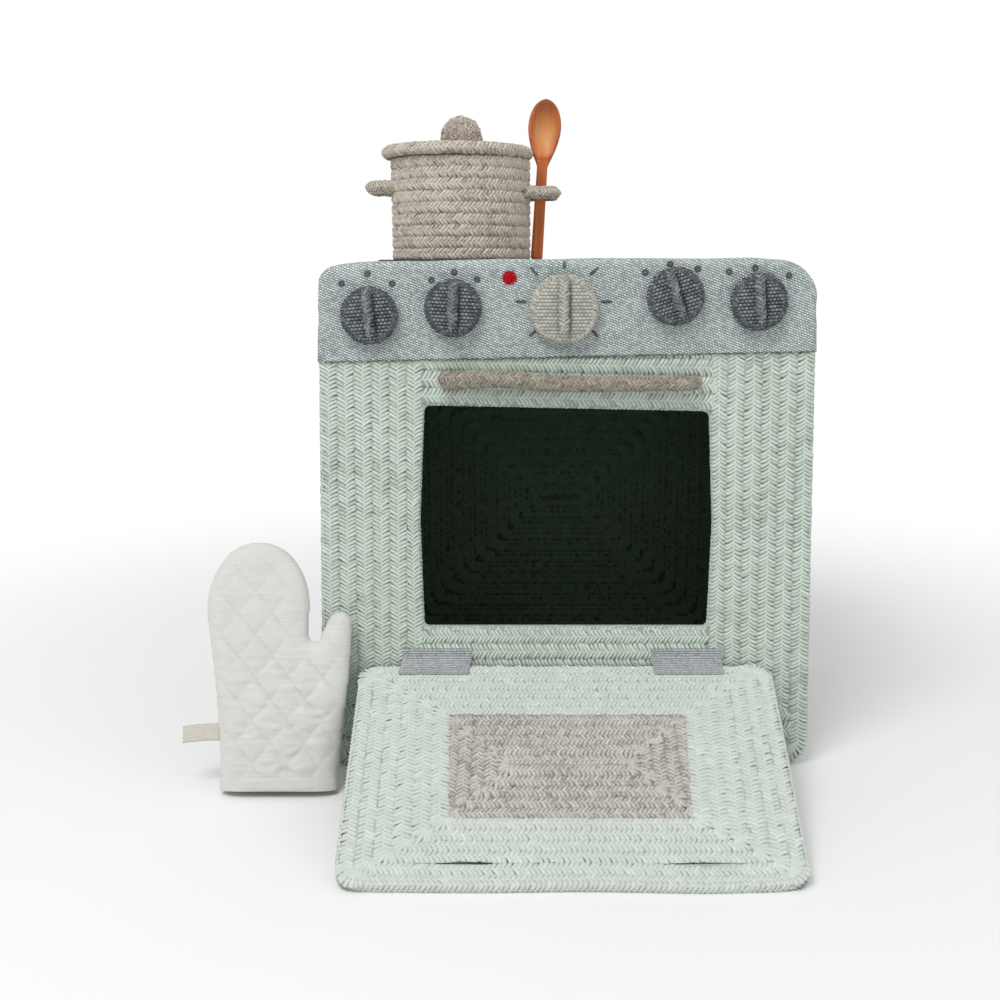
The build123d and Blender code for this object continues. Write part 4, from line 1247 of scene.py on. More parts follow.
def cover_half(radius, sag, foot_height):
    """Left half of the cover's outline, from the foot of the band to the top, with outward directions."""
    slope = hypot(1.0, SIDE_LEAN)
    out = Vector((-1.0 / slope, SIDE_LEAN / slope))
    corner_radius = radius + COVER_GAP
    reach = (radius + (HEIGHT - radius) * SIDE_LEAN / slope) * slope
    centre = Vector((-FLOOR_HALF + reach, HEIGHT - radius))
    foot = Vector((-side_half(foot_height), foot_height)) + out * COVER_GAP
    points, facing = [foot], [out]
    first = atan2(out.y, out.x)
    arc_steps, top_steps = 14, 56
    for index in range(5):
        points.append(foot.lerp(centre + out * corner_radius, (index + 1) / 6))
        facing.append(out)
    for index in range(arc_steps + 1):
        turn = first + (pi / 2 - first) * index / arc_steps
        direction = Vector((cos(turn), sin(turn)))
        points.append(centre + direction * corner_radius)
        facing.append(direction)
    for step in range(1, top_steps + 1):
        points.append(Vector((centre.x * (1 - step / top_steps), centre.y + corner_radius)))
        facing.append(Vector((0.0, 1.0)))
    for point in points:
        low = max(0.0, (-150.0 - point.x) / 50.0) ** 2 * clamp((point.y - 400.0) / 20.0)
        point.y -= sag * min(low, 1.2)
    return list(zip(points, facing))


def cover_outline():
    """Outline of the cover over the top: its left corner is sharper and hangs lower than its right one."""
    half = side_half(BAND_BOTTOM)
    left, right = cover_half(10.0, 4.5, band_foot(-half)), cover_half(26.0, 1.5, band_foot(half))
    return left + [(Vector((-p.x, p.y)), Vector((-d.x, d.y))) for p, d in reversed(right[:-1])]


def band_foot(x):
    """Height of the lower edge of the band, which was sewn on a little askew."""
    return BAND_BOTTOM + 4.2 * x / 200.0


def cover_push(place, depth):
    """How far the cover bulges out at a place, in millimetres."""
    x, y, z = place
    foot = band_foot(x)
    wave = rumple(x / 48.0, y / 60.0, z / 24.0)
    fold = rumple(x / 90.0 + 4.0, y / 80.0, z / 11.0)
    fine = rumple(x / 12.0, y / 15.0, z / 20.0 + 7.0)
    gather = rumple(x / 8.0, 3.0, y / 8.0)
    near_seam = 1.0 - min(1.0, abs(z - foot) / 14.0)
    push = depth * (0.7 * wave + 0.6 * fold + 0.2 * fine) * (1.0 - near_seam) + 0.4 * near_seam * gather
    hem = foot + 9.0 + 1.5 * rumple(x / 60.0, y / 60.0, 2.0)
    push -= 0.55 * bell(z, hem, 1.5)
    return clamp(push, -1.6, 0.9) + 0.2


def rim_lift(place):
    """How far the front edge of the cover stands up over the cooktop; its left end sags instead."""
    along = clamp((place.x + 120.0) / 70.0) * clamp((190.0 - place.x) / 40.0)
    rise = clamp((place.z - 424.0) / 14.0)
    back = max(0.0, place.y - FRONT_Y - COVER_ROLL) / 16.0
    return 2.4 * along * rise * exp(-(back**2))


def cover_column(outline, index):
    """Places and normals along one strip of the cover, from the front foot over the top to the back foot."""
    point, out = outline[index]
    inner = point - out * COVER_ROLL
    foot_half = side_half(BAND_BOTTOM) + COVER_GAP - COVER_ROLL
    foot_x = -foot_half + 2 * foot_half * index / (len(outline) - 1)
    foot = Vector((foot_x, band_foot(foot_x)))
    front = FRONT_Y - COVER_GAP
    column = []
    for step in range(33):
        flat = foot.lerp(inner, (step / 32) ** 1.5)
        column.append((Vector((flat.x, front, flat.y)), Vector(FORWARD)))
    for step in range(1, 6):
        turn = pi / 2 * step / 5
        flat = inner + out * COVER_ROLL * sin(turn)
        y = front + COVER_ROLL * (1 - cos(turn))
        normal = Vector((out.x * sin(turn), -cos(turn), out.y * sin(turn)))
        column.append((Vector((flat.x, y, flat.y)), normal))
    mirrored = [(Vector((p.x, -p.y, p.z)), Vector((n.x, -n.y, n.z))) for p, n in reversed(column)]
    depth = BACK_Y - FRONT_Y + 2 * COVER_GAP - 2 * COVER_ROLL
    for step in range(1, 41):
        y = front + COVER_ROLL + depth * step / 41
        column.append((Vector((point.x, y, point.y)), Vector((out.x, 0.0, out.y))))
    return column + mirrored


def twill_place(point, normal):
    """Spot of a point on the cover's cloth, whose weave runs askew."""
    if abs(normal.y) > 0.7:
        along, over = point.x, point.z
    elif abs(normal.z) > 0.7:
        along, over = point.x, point.y
    else:
        along, over = point.y, point.z
    c, s = cos(TWILL_BIAS), sin(TWILL_BIAS)
    return along * c - over * s, along * s + over * c


def cover_shell(depth, material):
    """The woven cover with its front and rear band, as one cloth."""
    outline = cover_outline()
    columns = [cover_column(outline, index) for index in range(len(outline))]
    made = bmesh.new()
    layer = made.loops.layers.uv.new(CLOTH)
    grid = []
    for column in columns:
        line = []
        for place, normal in column:
            push = cover_push(place, depth) - 1.3 * abs(normal.x) * clamp((place.z - 372.0) / 20.0)
            lifted = place + Vector((0.0, 0.0, rim_lift(place)))
            line.append(made.verts.new((lifted + normal * max(push, -1.4)) * MM))
        grid.append(line)
    normals = [normal for column in columns[:-1] for _, normal in column[:-1]]
    for face, normal in zip(skin(made, grid, closed=False), normals):
        for loop in face.loops:
            loop[layer].uv = twill_place(loop.vert.co, normal)
    bmesh.ops.remove_doubles(made, verts=made.verts, dist=0.02 * MM)
    bmesh.ops.recalc_face_normals(made, faces=made.faces)
    cover = sewn(made, "cover", material)
    if cover.data.polygons[0].normal.y > 0:
        cover.data.flip_normals()
    return modified(cover, "SOLIDIFY", thickness=1.9 * MM, offset=-1.0)


def seam_routes():
    """Lines of stitches along the lower edge of the cover."""
    routes = []
    out = COVER_GAP + 0.2
    for y, outward in ((FRONT_Y - out, -1.0), (BACK_Y + out, 1.0)):
        half = side_half(BAND_BOTTOM) - 6.0
        ends = [(x, y, band_foot(x) + 0.6) for x in (-half, half)]
        routes.append(Route(ends, (0.0, outward, 0.0), SEAM_HALF))
    for side in (-1, 1):
        height = band_foot(side * side_half(BAND_BOTTOM)) + 0.6
        x = side * (side_half(height) + out)
        routes.append(Route([(x, -144.0, height), (x, 144.0, height)], (side, 0.0, 0.0), SEAM_HALF))
    return routes


def burner_coil(name, centre, material):
    """Coil of thick thread on a burner patch."""
    half = BURNER_ROW / 2
    strand = Strand(half, 3.0, crest=0.1, drop=0.9, depth=0.9, power=2.5)
    routes = []
    for row in range(10):
        radius = BURNER_RADIUS - half - BURNER_ROW * row
        routes.append(circle_route(centre, radius, -0.1, half, pi / 2, BURNER_SIDES))
    return lay_braid(name, routes, strand, material, 17 + int(centre.x))


def burner_felt(name, centre, material):
    """Round patch under a burner's coil."""
    made = bmesh.new()
    rings = []
    for inset, height in ((0.0, -1.9), (0.0, -1.1), (1.0, -0.5)):
        ring = []
        for turn in turns(BURNER_SIDES):
            out = Vector((cos(turn), sin(turn), 0.0)) * (BURNER_RADIUS - inset)
            ring.append(made.verts.new((centre + out + Vector((0.0, 0.0, height))) * MM))
        rings.append(ring)
    top = made.verts.new((centre + Vector((0.0, 0.0, height))) * MM)
    skin(made, rings)
    for first, second in zip(ring, ring[1:] + ring[:1]):
        made.faces.new((first, second, top))
    return sewn(made, name, material)


class KITCHEN_OT_cover(bpy.types.Operator):
    """Sew the woven cover over the top of the cabinet, with its control band, and lay the burner patches"""

    bl_idname = "kitchen.cover"
    bl_label = "Cover and burners"

    def execute(self, context):
        cloth = context.scene.kitchen_cloth
        twill = cloth_material("cover_twill", cloth.band, cloth.twill * 1.35, cloth.twill, 0.9 * MM, 0.42)
        cover = cover_shell(cloth.pucker / MM, twill)
        finish_piece(cover, "cabinet", "band_cloth", "control_band", "cover_gusset", "rear_band")
        stitch = Strand(SEAM_HALF, 4.6, crest=0.5, drop=0.5, lean=0.0, depth=0.9, power=2.0)
        thread = braid_material("seam_thread", cloth.seam, 0.3)
        finish_piece(lay_braid("cover_seam", seam_routes(), stitch, thread, 3), "cabinet", "band_cloth")
        coil_thread = braid_material("burner_thread", cloth.burner, 0.3)
        felt_cloth = core_material("burner_felt", darker(cloth.burner, 0.7))
        for side, x in (("left", -98.0), ("right", 98.0)):
            centre = Vector((x, 0.0, POT_BASE))
            coil = burner_coil(f"burner_{side}_coil", centre, coil_thread)
            felt = burner_felt(f"burner_{side}_felt", centre, felt_cloth)
            finish_piece(felt, "cabinet", "burner_cloth", f"burner_{side}")
            finish_piece(coil, "cabinet", "burner_cloth")
        return {"FINISHED"}


def pull_line():
    """Middle line of the pull, out of the front, along it and back in, and its radius at each point."""
    left, right = Vector((-98.5, 0.0, 342.5)), Vector((104.5, 0.0, 340.5))

    def bend(end, inward, turn):
        aside, back = PULL_BEND * (1 - cos(turn)), PULL_BEND * (1 - sin(turn))
        return Vector((end.x + inward * aside, PULL_Y + back, end.z))

    quarter = [pi / 2 * step / 4 for step in range(5)]
    line = [Vector((left.x, FRONT_Y, left.z))] + [bend(left, 1, turn) for turn in quarter]
    start, end = Vector((left.x + PULL_BEND, PULL_Y, left.z)), Vector((right.x - PULL_BEND, PULL_Y, right.z))
    line += [start.lerp(end, step / 12) for step in range(1, 12)]
    line += [bend(right, -1, turn) for turn in reversed(quarter)] + [Vector((right.x, FRONT_Y, right.z))]
    radii = []
    for point in line:
        point.z += 2.6 * bell(point.x, -58.0, 26.0) - 1.2 * bell(point.x, 5.0, 45.0)
        radii.append(6.7 - 0.8 * point.x / 100.0)
    return line, radii


def pull_core(line, radii, material):
    """The filling of the pull's rope, just under its strands."""
    curve = bpy.data.curves.new("pull_core", "CURVE")
    curve.dimensions = "3D"
    curve.bevel_depth = MM
    curve.bevel_resolution = 3
    curve.use_fill_caps = True
    spline = curve.splines.new("POLY")
    spline.points.add(len(line) - 1)
    for place, point, radius in zip(spline.points, line, radii):
        place.co = (*point * MM, 1.0)
        place.radius = radius - 0.7
    carrier = link("pull_line", curve)
    piece = link("pull_core", plain_mesh(carrier), material)
    bpy.data.objects.remove(carrier)
    smooth(piece.data)
    return piece


class KITCHEN_OT_pull(bpy.types.Operator):
    """Braid the rope pull above the oven mouth"""

    bl_idname = "kitchen.pull"
    bl_label = "Oven pull"

    def execute(self, context):
        rope = context.scene.kitchen_rope
        grey = braid_material("pull_braid", rope.pull, 0.4)
        line, radii = pull_line()
        routes, strand = tube_routes(line, radii, PULL_ROWS), tube_strand(6.5, 3.3, PULL_ROWS)
        piece = lay_braid("pull_rope", routes, strand, grey, rope.seed + 3)
        finish_piece(piece, "cabinet", "rope_taupe", "pull_handle")
        core = pull_core(line, radii, core_material("pull_core", darker(rope.pull, 0.8)))
        finish_piece(core, "cabinet", "rope_taupe")
        return {"FINISHED"}


class KITCHEN_OT_door(bpy.types.Operator):
    """Braid both faces of the door, its edge and its window"""

    bl_idname = "kitchen.door"
    bl_label = "Oven door"

    def execute(self, context):
        rope = context.scene.kitchen_rope
        mint = braid_material("door_braid", rope.door, 0.14, darker(rope.door, 0.96), rope.mint_light, 0.34)
        taupe = braid_material("window_braid", rope.taupe, 0.45)
        dress(core_material("door_core", rope.door), "door_panel")
        dress(core_material("window_core", darker(rope.taupe, 0.85)), "door_window")
        stitch = rope.door_stitch / MM
        row = Strand(5.5, stitch, crest=0.7, drop=0.3, depth=0.75)
        edge = Strand(WALL / 2, stitch, crest=0.9, drop=1.9, power=2.4)
        window = Strand(5.3, 0.94 * stitch, crest=0.8, drop=0.6, depth=1.0)
        for name, face in (("door_inside_rope", 1), ("door_outside_rope", -1)):
            finish_piece(lay_braid(name, door_routes(face), row, mint, rope.seed + face), "door", "rope_mint")
        piece = lay_braid("door_edge_rope", door_edge_routes(), edge, mint, rope.seed + 9)
        finish_piece(piece, "door", "rope_mint")
        routes = window_routes(1) + window_routes(-1)
        finish_piece(lay_braid("window_rope", routes, window, taupe, rope.seed + 21), "door", "rope_grey")
        return {"FINISHED"}


def strap(name, x, skew, material):
    """One tape from the cabinet, round the fold and onto the door; skew shifts its end on the door."""
    fold = Vector((x, 0.0, 0.0))
    line = [fold + Vector((0.0, FRONT_Y - 1.15, 109.4 - 6.0 * step / 8)) for step in range(9)]
    line += [fold + HINGE + Vector((0.0, y, z)) for y, z in ((0.35, 1.3), (-0.2, 0.5))]
    line += [DoorFrame.place(x, 1.2 + 18.0 * step / 12, 1.15) for step in range(13)]
    lengths = [0.0]
    for before, after in zip(line, line[1:]):
        lengths.append(lengths[-1] + (after - before).length)
    made = bmesh.new()
    layer = made.loops.layers.uv.new(CLOTH)
    shares = [-1.0, -0.97] + [i / 14 for i in range(-13, 14)] + [0.97, 1.0]
    sections = []
    runs = {}
    for index, (point, length) in enumerate(zip(line, lengths)):
        ahead = (line[min(index + 1, len(line) - 1)] - line[max(index - 1, 0)]).normalized()
        out = ahead.cross(Vector((1.0, 0.0, 0.0)))
        upper, lower = [], []
        for share in shares:
            body = STRAP_THICK * (0.35 if abs(share) > 0.99 else 1.0)
            wave = 0.25 * rumple(share * 3.0 + x, length / 12.0, 0.0)
            aside = share * STRAP_HALF + skew * (length / lengths[-1] - 0.5)
            base = point + Vector((aside, 0.0, 0.0)) + out * wave
            upper.append(made.verts.new((base + out * body) * MM))
            lower.append(made.verts.new((base - out * body) * MM))
        sections.append(upper + lower[::-1])
        runs |= dict.fromkeys(sections[-1], length * MM)
    lay_map(skin(made, sections), layer, lambda corner: (corner.co.x, runs[corner]))
    made.faces.new(sections[0])
    made.faces.new(sections[-1][::-1])
    bmesh.ops.recalc_face_normals(made, faces=made.faces)
    return sewn(made, name, material)


class KITCHEN_OT_straps(bpy.types.Operator):
    """Sew the two ribbed tapes that hinge the door"""

    bl_idname = "kitchen.straps"
    bl_label = "Hinge tapes"

    def execute(self, context):
        colour = context.scene.kitchen_cloth.tape
        ribbed = cloth_material("hinge_tape", colour, 1.5 * MM, 2.2 * MM, 0.7 * MM, 0.36)
        for side, x, skew in STRAPS:
            tape = strap(f"hinge_tape_{side}", x, skew, ribbed)
            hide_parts(f"hinge_strap_{side}_cabinet", f"hinge_strap_{side}_door")
            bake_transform(tape)
        return {"FINISHED"}


def knob_lift(local, share, x, radius, rib):
    """Height of a knob's front over its back, at a share of its radius: a ribbed dome with a pinched fold."""
    row = local.y / rib
    grain = local.x / (rib * KNOB_GRAIN) + ROW_SHIFT * floor(row)
    relief = abs(sin(pi * row)) ** 0.7 * (0.4 + 0.6 * abs(sin(pi * grain)))
    ridge = abs(local.x) / 3.9
    fold = 6.6 * max(0.0, 1 - ridge**2.5) * max(0.0, 1 - abs(local.y / (radius - 1.5)) ** 5)
    dome = 10.0 - 3.4 * share**8 - 0.7 * share**2
    lift = dome + 0.45 * (relief - 0.5) * (1 - share**10) + fold
    return lift + 0.5 * rumple(local.x / 12.0 + x, local.y / 12.0, 1.0)


def knob_pad(name, knob, rib, material):
    """A domed disc whose ribs stand up from the cloth, with a fold pinched across it."""
    _, x, z, radius, turn = knob
    spin = Matrix.Rotation(radians(turn), 2)
    size = 64
    made = bmesh.new()
    layer = made.loops.layers.uv.new(CLOTH)
    shade = made.verts.layers.float.new("shade")
    spots = {}

    def corner(local, lift):
        place = spin @ local
        vert = made.verts.new(Vector((x + place.x, KNOB_BACK - lift, z + place.y)) * MM)
        spots[vert] = local
        return vert

    front = []
    for i in range(size + 1):
        line = []
        for j in range(size + 1):
            a, b = 2 * i / size - 1, 2 * j / size - 1
            flat = Vector((a * sqrt(1 - b * b / 2), b * sqrt(1 - a * a / 2)))
            share = min(flat.length, 1.0)
            local = flat * (radius - KNOB_RIM)
            vert = corner(local, knob_lift(local, share, x, radius, rib))
            # Painted shadow beside the pinched fold, stronger on its right, where the fold shades the cloth
            # from the light
            foot = bell(abs(local.x), 4.9, 1.5) * max(0.0, 1 - share**6)
            vert[shade] = foot * (0.85 if local.x > 0 else 0.35)
            line.append(vert)
        front.append(line)
    skin(made, front, closed=False, flip=True)
    rim = [line[0] for line in front[:size]] + front[size][:size]
    rim += [line[size] for line in front[:0:-1]] + front[0][:0:-1]
    rings = [rim]
    for out, lift in ((radius, 4.6), (radius - 0.3, 2.4), (radius - 2.2, 0.5), (radius - 5.0, 0.3)):
        rings.append([corner(spots[vert].normalized() * out, lift) for vert in rim])
    skin(made, rings, flip=True)
    made.faces.new(rings[-1])
    lay_map(made.faces, layer, lambda vert: spots[vert] * MM)
    bmesh.ops.recalc_face_normals(made, faces=made.faces)
    return sewn(made, name, material)


def knob_yarn(name, knob, materials, seed):
    """Overcast rim and the braided top of the pinched grip."""
    _, x, z, radius, turn = knob
    centre = Vector((x, KNOB_BACK, z))
    points, facing = [], []
    for angle in turns(64):
        out = Vector((cos(angle), 0.0, sin(angle)))
        wobble = 1.1 * rumple(cos(angle) * 2 + x, sin(angle) * 2, 5.0)
        points.append(centre + out * (radius - 2.0 + wobble) + Vector((0.0, -7.2, 0.0)))
        facing.append((out * 0.8 + Vector((0.0, -0.62, 0.0))).normalized())
    whip = Strand(2.9, 2.6, crest=1.1, drop=1.6, lean=0.35, depth=1.2, power=2.0)
    rim = lay_braid(name, [Route(points, facing, whip.half, closed=True)], whip, materials[0], seed, 0.2)
    axis = Vector((-sin(radians(turn)), 0.0, cos(radians(turn))))
    grip = Strand(3.7, 3.0, crest=0.7, drop=4.4, lean=0.6, depth=1.0, power=2.4)
    points, halves = [], []
    for step in range(13):
        share = 2 * step / 12 - 1
        lift = 17.2 - 4.5 * abs(share) ** 5
        bend = 0.7 * rumple(share * 1.5, x, 2.0)
        points.append(centre + axis * ((radius - 4.6) * share) + Vector((bend, -lift, 0.0)))
        halves.append(grip.half - 0.7 * abs(share) ** 3)
    top = lay_braid(name + "_top", [Route(points, FORWARD, halves)], grip, materials[1], seed + 1, 0.12)
    return joined(name, rim, top)


class KITCHEN_OT_knobs(bpy.types.Operator):
    """Pad the five knobs, with their overcast rims and pinched grips"""

    bl_idname = "kitchen.knobs"
    bl_label = "Knobs"

    def execute(self, context):
        cloth = context.scene.kitchen_cloth
        grain, rib = cloth.rib * KNOB_GRAIN, cloth.rib
        slate = cloth_material("knob_slate", cloth.slate, grain, rib, 0.9 * MM, 0.72, sheen=0.02)
        oatmeal = cloth_material("knob_oatmeal", cloth.oatmeal, grain, rib, 0.6 * MM, 0.3)
        slate_yarn = braid_material("slate_yarn", cloth.slate, 0.5, gap=0.9, sheen=0.02)
        # The grip's braid is a lighter copy of the slate yarn: painted light on the top of the pinched fold
        lit_slate_fold = braid_material("lit_slate_fold", lighter(cloth.slate, 0.2), 0.5, gap=0.7, sheen=0.02)
        oatmeal_yarn = braid_material("oatmeal_yarn", cloth.oatmeal, 0.3)
        for index, knob in enumerate(KNOBS):
            name = knob[0]
            slot, face, yarns = "knob_cloth", slate, (slate_yarn, lit_slate_fold)
            if name == "oven_knob":
                slot, face, yarns = "oven_knob_cloth", oatmeal, (oatmeal_yarn, oatmeal_yarn)
            pad = knob_pad(f"{name}_pad", knob, rib / MM, face)
            finish_piece(pad, name, slot, name)
            finish_piece(knob_yarn(f"{name}_yarn", knob, yarns, 31 + index), name, slot, f"{name}_grip")
        return {"FINISHED"}


class KITCHEN_OT_marks(bpy.types.Operator):
    """Embroider the rings, the ticks and the red light on the control band"""

    bl_idname = "kitchen.marks"
    bl_label = "Embroidery"

    def execute(self, context):
        cloth = context.scene.kitchen_cloth

        def on_cover(x, z):
            flat = Vector((x, FRONT_Y - COVER_GAP, z))
            return flat - Vector((0.0, cover_push(flat, cloth.pucker / MM) + 0.6, 0.0))

        thread = braid_material("mark_satin", cloth.thread, 0.2, light=lighter(cloth.thread, 0.12), sheen=0.0)
        red = braid_material("red_satin", cloth.red, 0.25, light=lighter(cloth.red, 0.08), sheen=0.0)
        satin = Strand(0.95, 0.75, crest=0.6, drop=0.2, lean=0.15, depth=0.6, power=2.0)
        rings = []
        for name, x, z, _, _ in KNOBS:
            for ring_x, ring_z in RING_OFFSETS.get(name, ()):
                middle = on_cover(x + ring_x, z + ring_z)
                points = []
                for turn in turns(20):
                    out = (RING_RADIUS * cos(turn), 0.0, RING_RADIUS * sin(turn))
                    points.append(middle + Vector(out))
                rings.append(Route(points, FORWARD, satin.half, closed=True))
        piece = lay_braid("ring_thread", rings, satin, thread, 71, 0.15)
        finish_piece(piece, "cabinet", "mark_thread", "ring_marks")
        ticks = []
        _, x, z, _, _ = KNOBS[2]
        for tick, (distance, long) in enumerate(TICKS):
            turn = radians(45.0 * tick - 45.0)
            reach = []
            for r in (distance - long, distance, distance + long):
                reach.append(on_cover(x + r * cos(turn), z + TICK_RISE + r * sin(turn)))
            ticks.append(Route(reach, FORWARD, [1.3, 1.1, 0.7]))
        bar = Strand(1.0, 1.6, crest=0.6, drop=0.2, lean=1.3, depth=0.6, power=2.0)
        piece = lay_braid("tick_thread", ticks, bar, thread, 72, 0.1)
        finish_piece(piece, "cabinet", "mark_thread", "tick_marks")
        rows = []
        light_x, light_z, light_radius = LIGHT
        knot = Strand(1.3, 1.2, crest=0.5, drop=0.5, lean=0.4, depth=1.6, power=2.0)
        for row in range(5):
            height = (row - 2) * 0.4 * light_radius
            half = sqrt(light_radius**2 - height**2)
            bulge = 1.2 * (1 - (height / (1.1 * light_radius)) ** 2)
            points = []
            for share in (-1.0, -0.5, 0.0, 0.5, 1.0):
                flat = on_cover(light_x + half * share, light_z + height)
                points.append(flat - Vector((0.0, bulge * (1 - 0.6 * share**2), 0.0)))
            rows.append(Route(points, FORWARD, knot.half))
        piece = lay_braid("light_thread", rows, knot, red, 73, 0.2)
        finish_piece(piece, "cabinet", "red_thread", "red_light")
        dress(core_material("stud_plastic", (0.8, 0.8, 0.78)), "knob_pivots")
        return {"FINISHED"}


def loop_line(direction, reach, height):
    """Middle line of one carrying loop of the pot."""
    centre = POT_CENTRE + Vector((0.0, 0.0, height))
    start = sqrt(POT_RADIUS**2 - LOOP_HALF**2) - 1.0
    flat = [(start, -LOOP_HALF)]
    straight = LOOP_HALF - LOOP_BEND
    for corner, first in ((-straight, -90.0), (straight, 0.0)):
        for step in range(6):
            turn = radians(first + 90.0 * step / 5)
            x = reach - LOOP_BEND + LOOP_BEND * cos(turn)
            flat.append((x, corner + LOOP_BEND * sin(turn)))
    flat.append((start, LOOP_HALF))
    return [centre + Vector((direction * x, direction * y, 0.0)) for x, y in flat]


class KITCHEN_OT_pot(bpy.types.Operator):
    """Braid the pot with its loops, and the lid with its ball"""

    bl_idname = "kitchen.pot"
    bl_label = "Pot and lid"

    def execute(self, context):
        rope = context.scene.kitchen_rope
        beige = braid_material("pot_braid", rope.beige, 0.5)
        core = core_material("pot_core", darker(rope.beige, 0.85))
        dress(core, "lid", "lid_ball", "pot_loop_left", "pot_loop_right")
        colour, pitch = darker(rope.beige, 0.9), POT_ROW * MM
        inside = row_material("pot_rows", colour, "Z", pitch, rope.pot_stitch, POT_CENTRE * MM, 55.0 * MM)
        dress(inside, "pot")
        stitch = rope.pot_stitch / MM
        half = POT_ROW / 2
        row = Strand(half, stitch, crest=rope.crest / MM, drop=0.8, lean=0.7, depth=1.1, power=3.0)
        routes = []
        for level in range(9):
            height = half + POT_ROW * level
            routes.append(circle_route(POT_CENTRE, POT_RADIUS, height, half, wobble=0.25))
        finish_piece(lay_braid("pot_rope", routes, row, beige, rope.seed + 40), "pot", "rope_beige")
        for side, direction, reach, height in POT_LOOPS:
            line = loop_line(direction, reach, height)
            routes, strand = tube_routes(line, [LOOP_RADIUS] * len(line)), tube_strand(LOOP_RADIUS, 3.0)
            loop = lay_braid(f"pot_loop_{side}_rope", routes, strand, beige, rope.seed + 45)
            finish_piece(loop, "pot", "rope_beige")
        routes = []
        for ring in range(1, 5):
            radius = LID_RADIUS - LID_ROW * (ring + 0.5)
            routes.append(circle_route(LID_CENTRE, radius, POT_ROW, LID_ROW / 2, pi / 2))
        routes.append(circle_route(LID_CENTRE, 63.6, 9.7, 4.6, radians(74)))
        top = lay_braid("lid_top_rope", routes, row, beige, rope.seed + 50)
        edge = Strand(half, stitch, crest=1.2, drop=2.8, lean=0.7, depth=1.1, power=2.4)
        rim = [circle_route(LID_CENTRE, LID_RADIUS - 0.2, half, half)]
        side = lay_braid("lid_rim_rope", rim, edge, beige, rope.seed + 51)
        finish_piece(joined("lid_rope", top, side), "lid", "rope_beige")
        knit = Strand(2.7, 2.1, crest=0.9, drop=0.7, lean=0.7, depth=1.3, power=2.2)
        rings = []
        for level in range(9):
            slope = radians(-24.0 + 13.0 * level)
            out, up = BALL_RADIUS * cos(slope), BALL_RADIUS * sin(slope)
            rings.append(circle_route(BALL_CENTRE, out, up, knit.half, slope, 48))
        ball = lay_braid("lid_ball_rope", rings, knit, beige, rope.seed + 55, 0.45)
        finish_piece(ball, "lid", "rope_beige")
        return {"FINISHED"}


def spoon_width(height):
    """Half width of the spoon at a height over the end of its handle."""
    stem = 5.6 + (4.8 - 5.6) * min(height / 91.0, 1.0)
    from_top = (SPOON_LENGTH - height) / 59.0
    if from_top < BOWL_WIDEST:
        return BOWL_HALF * max(0.0, 1 - (1 - from_top / BOWL_WIDEST) ** 2.1) ** 0.5
    return stem + (BOWL_HALF - stem) * max(0.0, 1 - ((from_top - BOWL_WIDEST) / 0.57) ** 1.7)


def spoon_shape(material):
    """The spoon: a handle that turns into a hollow bowl, with painted light low in its hollow and painted
    shade over the top of the bowl.
    """
    tilt = radians(3.6)
    up = Vector((sin(tilt), 0.0, cos(tilt)))
    right = Vector((cos(tilt), 0.0, -sin(tilt)))
    front = Vector(FORWARD)
    made = bmesh.new()
    layer = made.loops.layers.uv.new(CLOTH)
    worn = made.verts.layers.float.new("worn")
    shade = made.verts.layers.float.new("shade")
    neck = 88.0
    heights = [0.0, 0.5, 1.5, 3.0] + [3.0 + 85.0 * i / 22 for i in range(1, 23)]
    heights += [neck + (SPOON_LENGTH - neck) * (1 - cos(pi * i / 40)) / 2 for i in range(1, 41)]
    rings = []
    spots = {}
    for height in heights:
        wide = spoon_width(height)
        bowl_share = (height - 117.5) / 26.5
        inside = max(0.0, 1 - bowl_share**2) ** 0.5 if abs(bowl_share) < 1 else 0.0
        square = 0.55 + 0.45 * inside
        deep = 3.0 * (1 - inside) + 5.0 * inside
        end = min(1.0, 0.75 + height / 6.0) if height < 1.5 else 1.0
        ring = []
        for turn in turns(40):
            c, s = cos(turn), sin(turn)
            x = copysign(abs(c) ** square, c) * max(wide, 0.05) * end
            y = copysign(abs(s) ** square, s) * deep * end
            hollow = 0.0
            if s > 0 and inside > 0:
                share = min(1.0, abs(x) / max(wide - 1.4, 0.1))
                hollow = BOWL_DEPTH * inside**1.4 * (1 - share**2.4)
                y = min(y, deep) * (1 - inside) + inside * (4.4 - hollow) * (1.0 if share < 1 else abs(s))
            elif s < 0 and inside > 0:
                y = -deep * (abs(s) ** 0.9) * (0.35 + 0.65 * inside) - (1 - inside) * 0.6 * abs(s)
            vert = made.verts.new((SPOON_FOOT + right * x + up * height + front * y) * MM)
            # Painted light: the hollow is paler where it is deep, low in the bowl and to its right, where
            # light falls into it
            pale = clamp(0.75 - 0.9 * bowl_share) * (1.0 + 0.03 * x)
            vert[worn] = inside * (hollow / BOWL_DEPTH) * clamp(pale)
            # Painted shade over the top of the bowl, on its hollow side
            vert[shade] = clamp((height - 124.0) / 15.0) if s > -0.2 else 0.0
            spots[vert] = (x * MM, height * MM)
            ring.append(vert)
        rings.append(ring)
    skin(made, rings)
    made.faces.new(rings[0][::-1])
    bmesh.ops.remove_doubles(made, verts=made.verts, dist=0.05 * MM)
    lay_map(made.faces, layer, lambda corner: spots[corner])
    bmesh.ops.recalc_face_normals(made, faces=made.faces)
    return sewn(made, "spoon_wood", material)


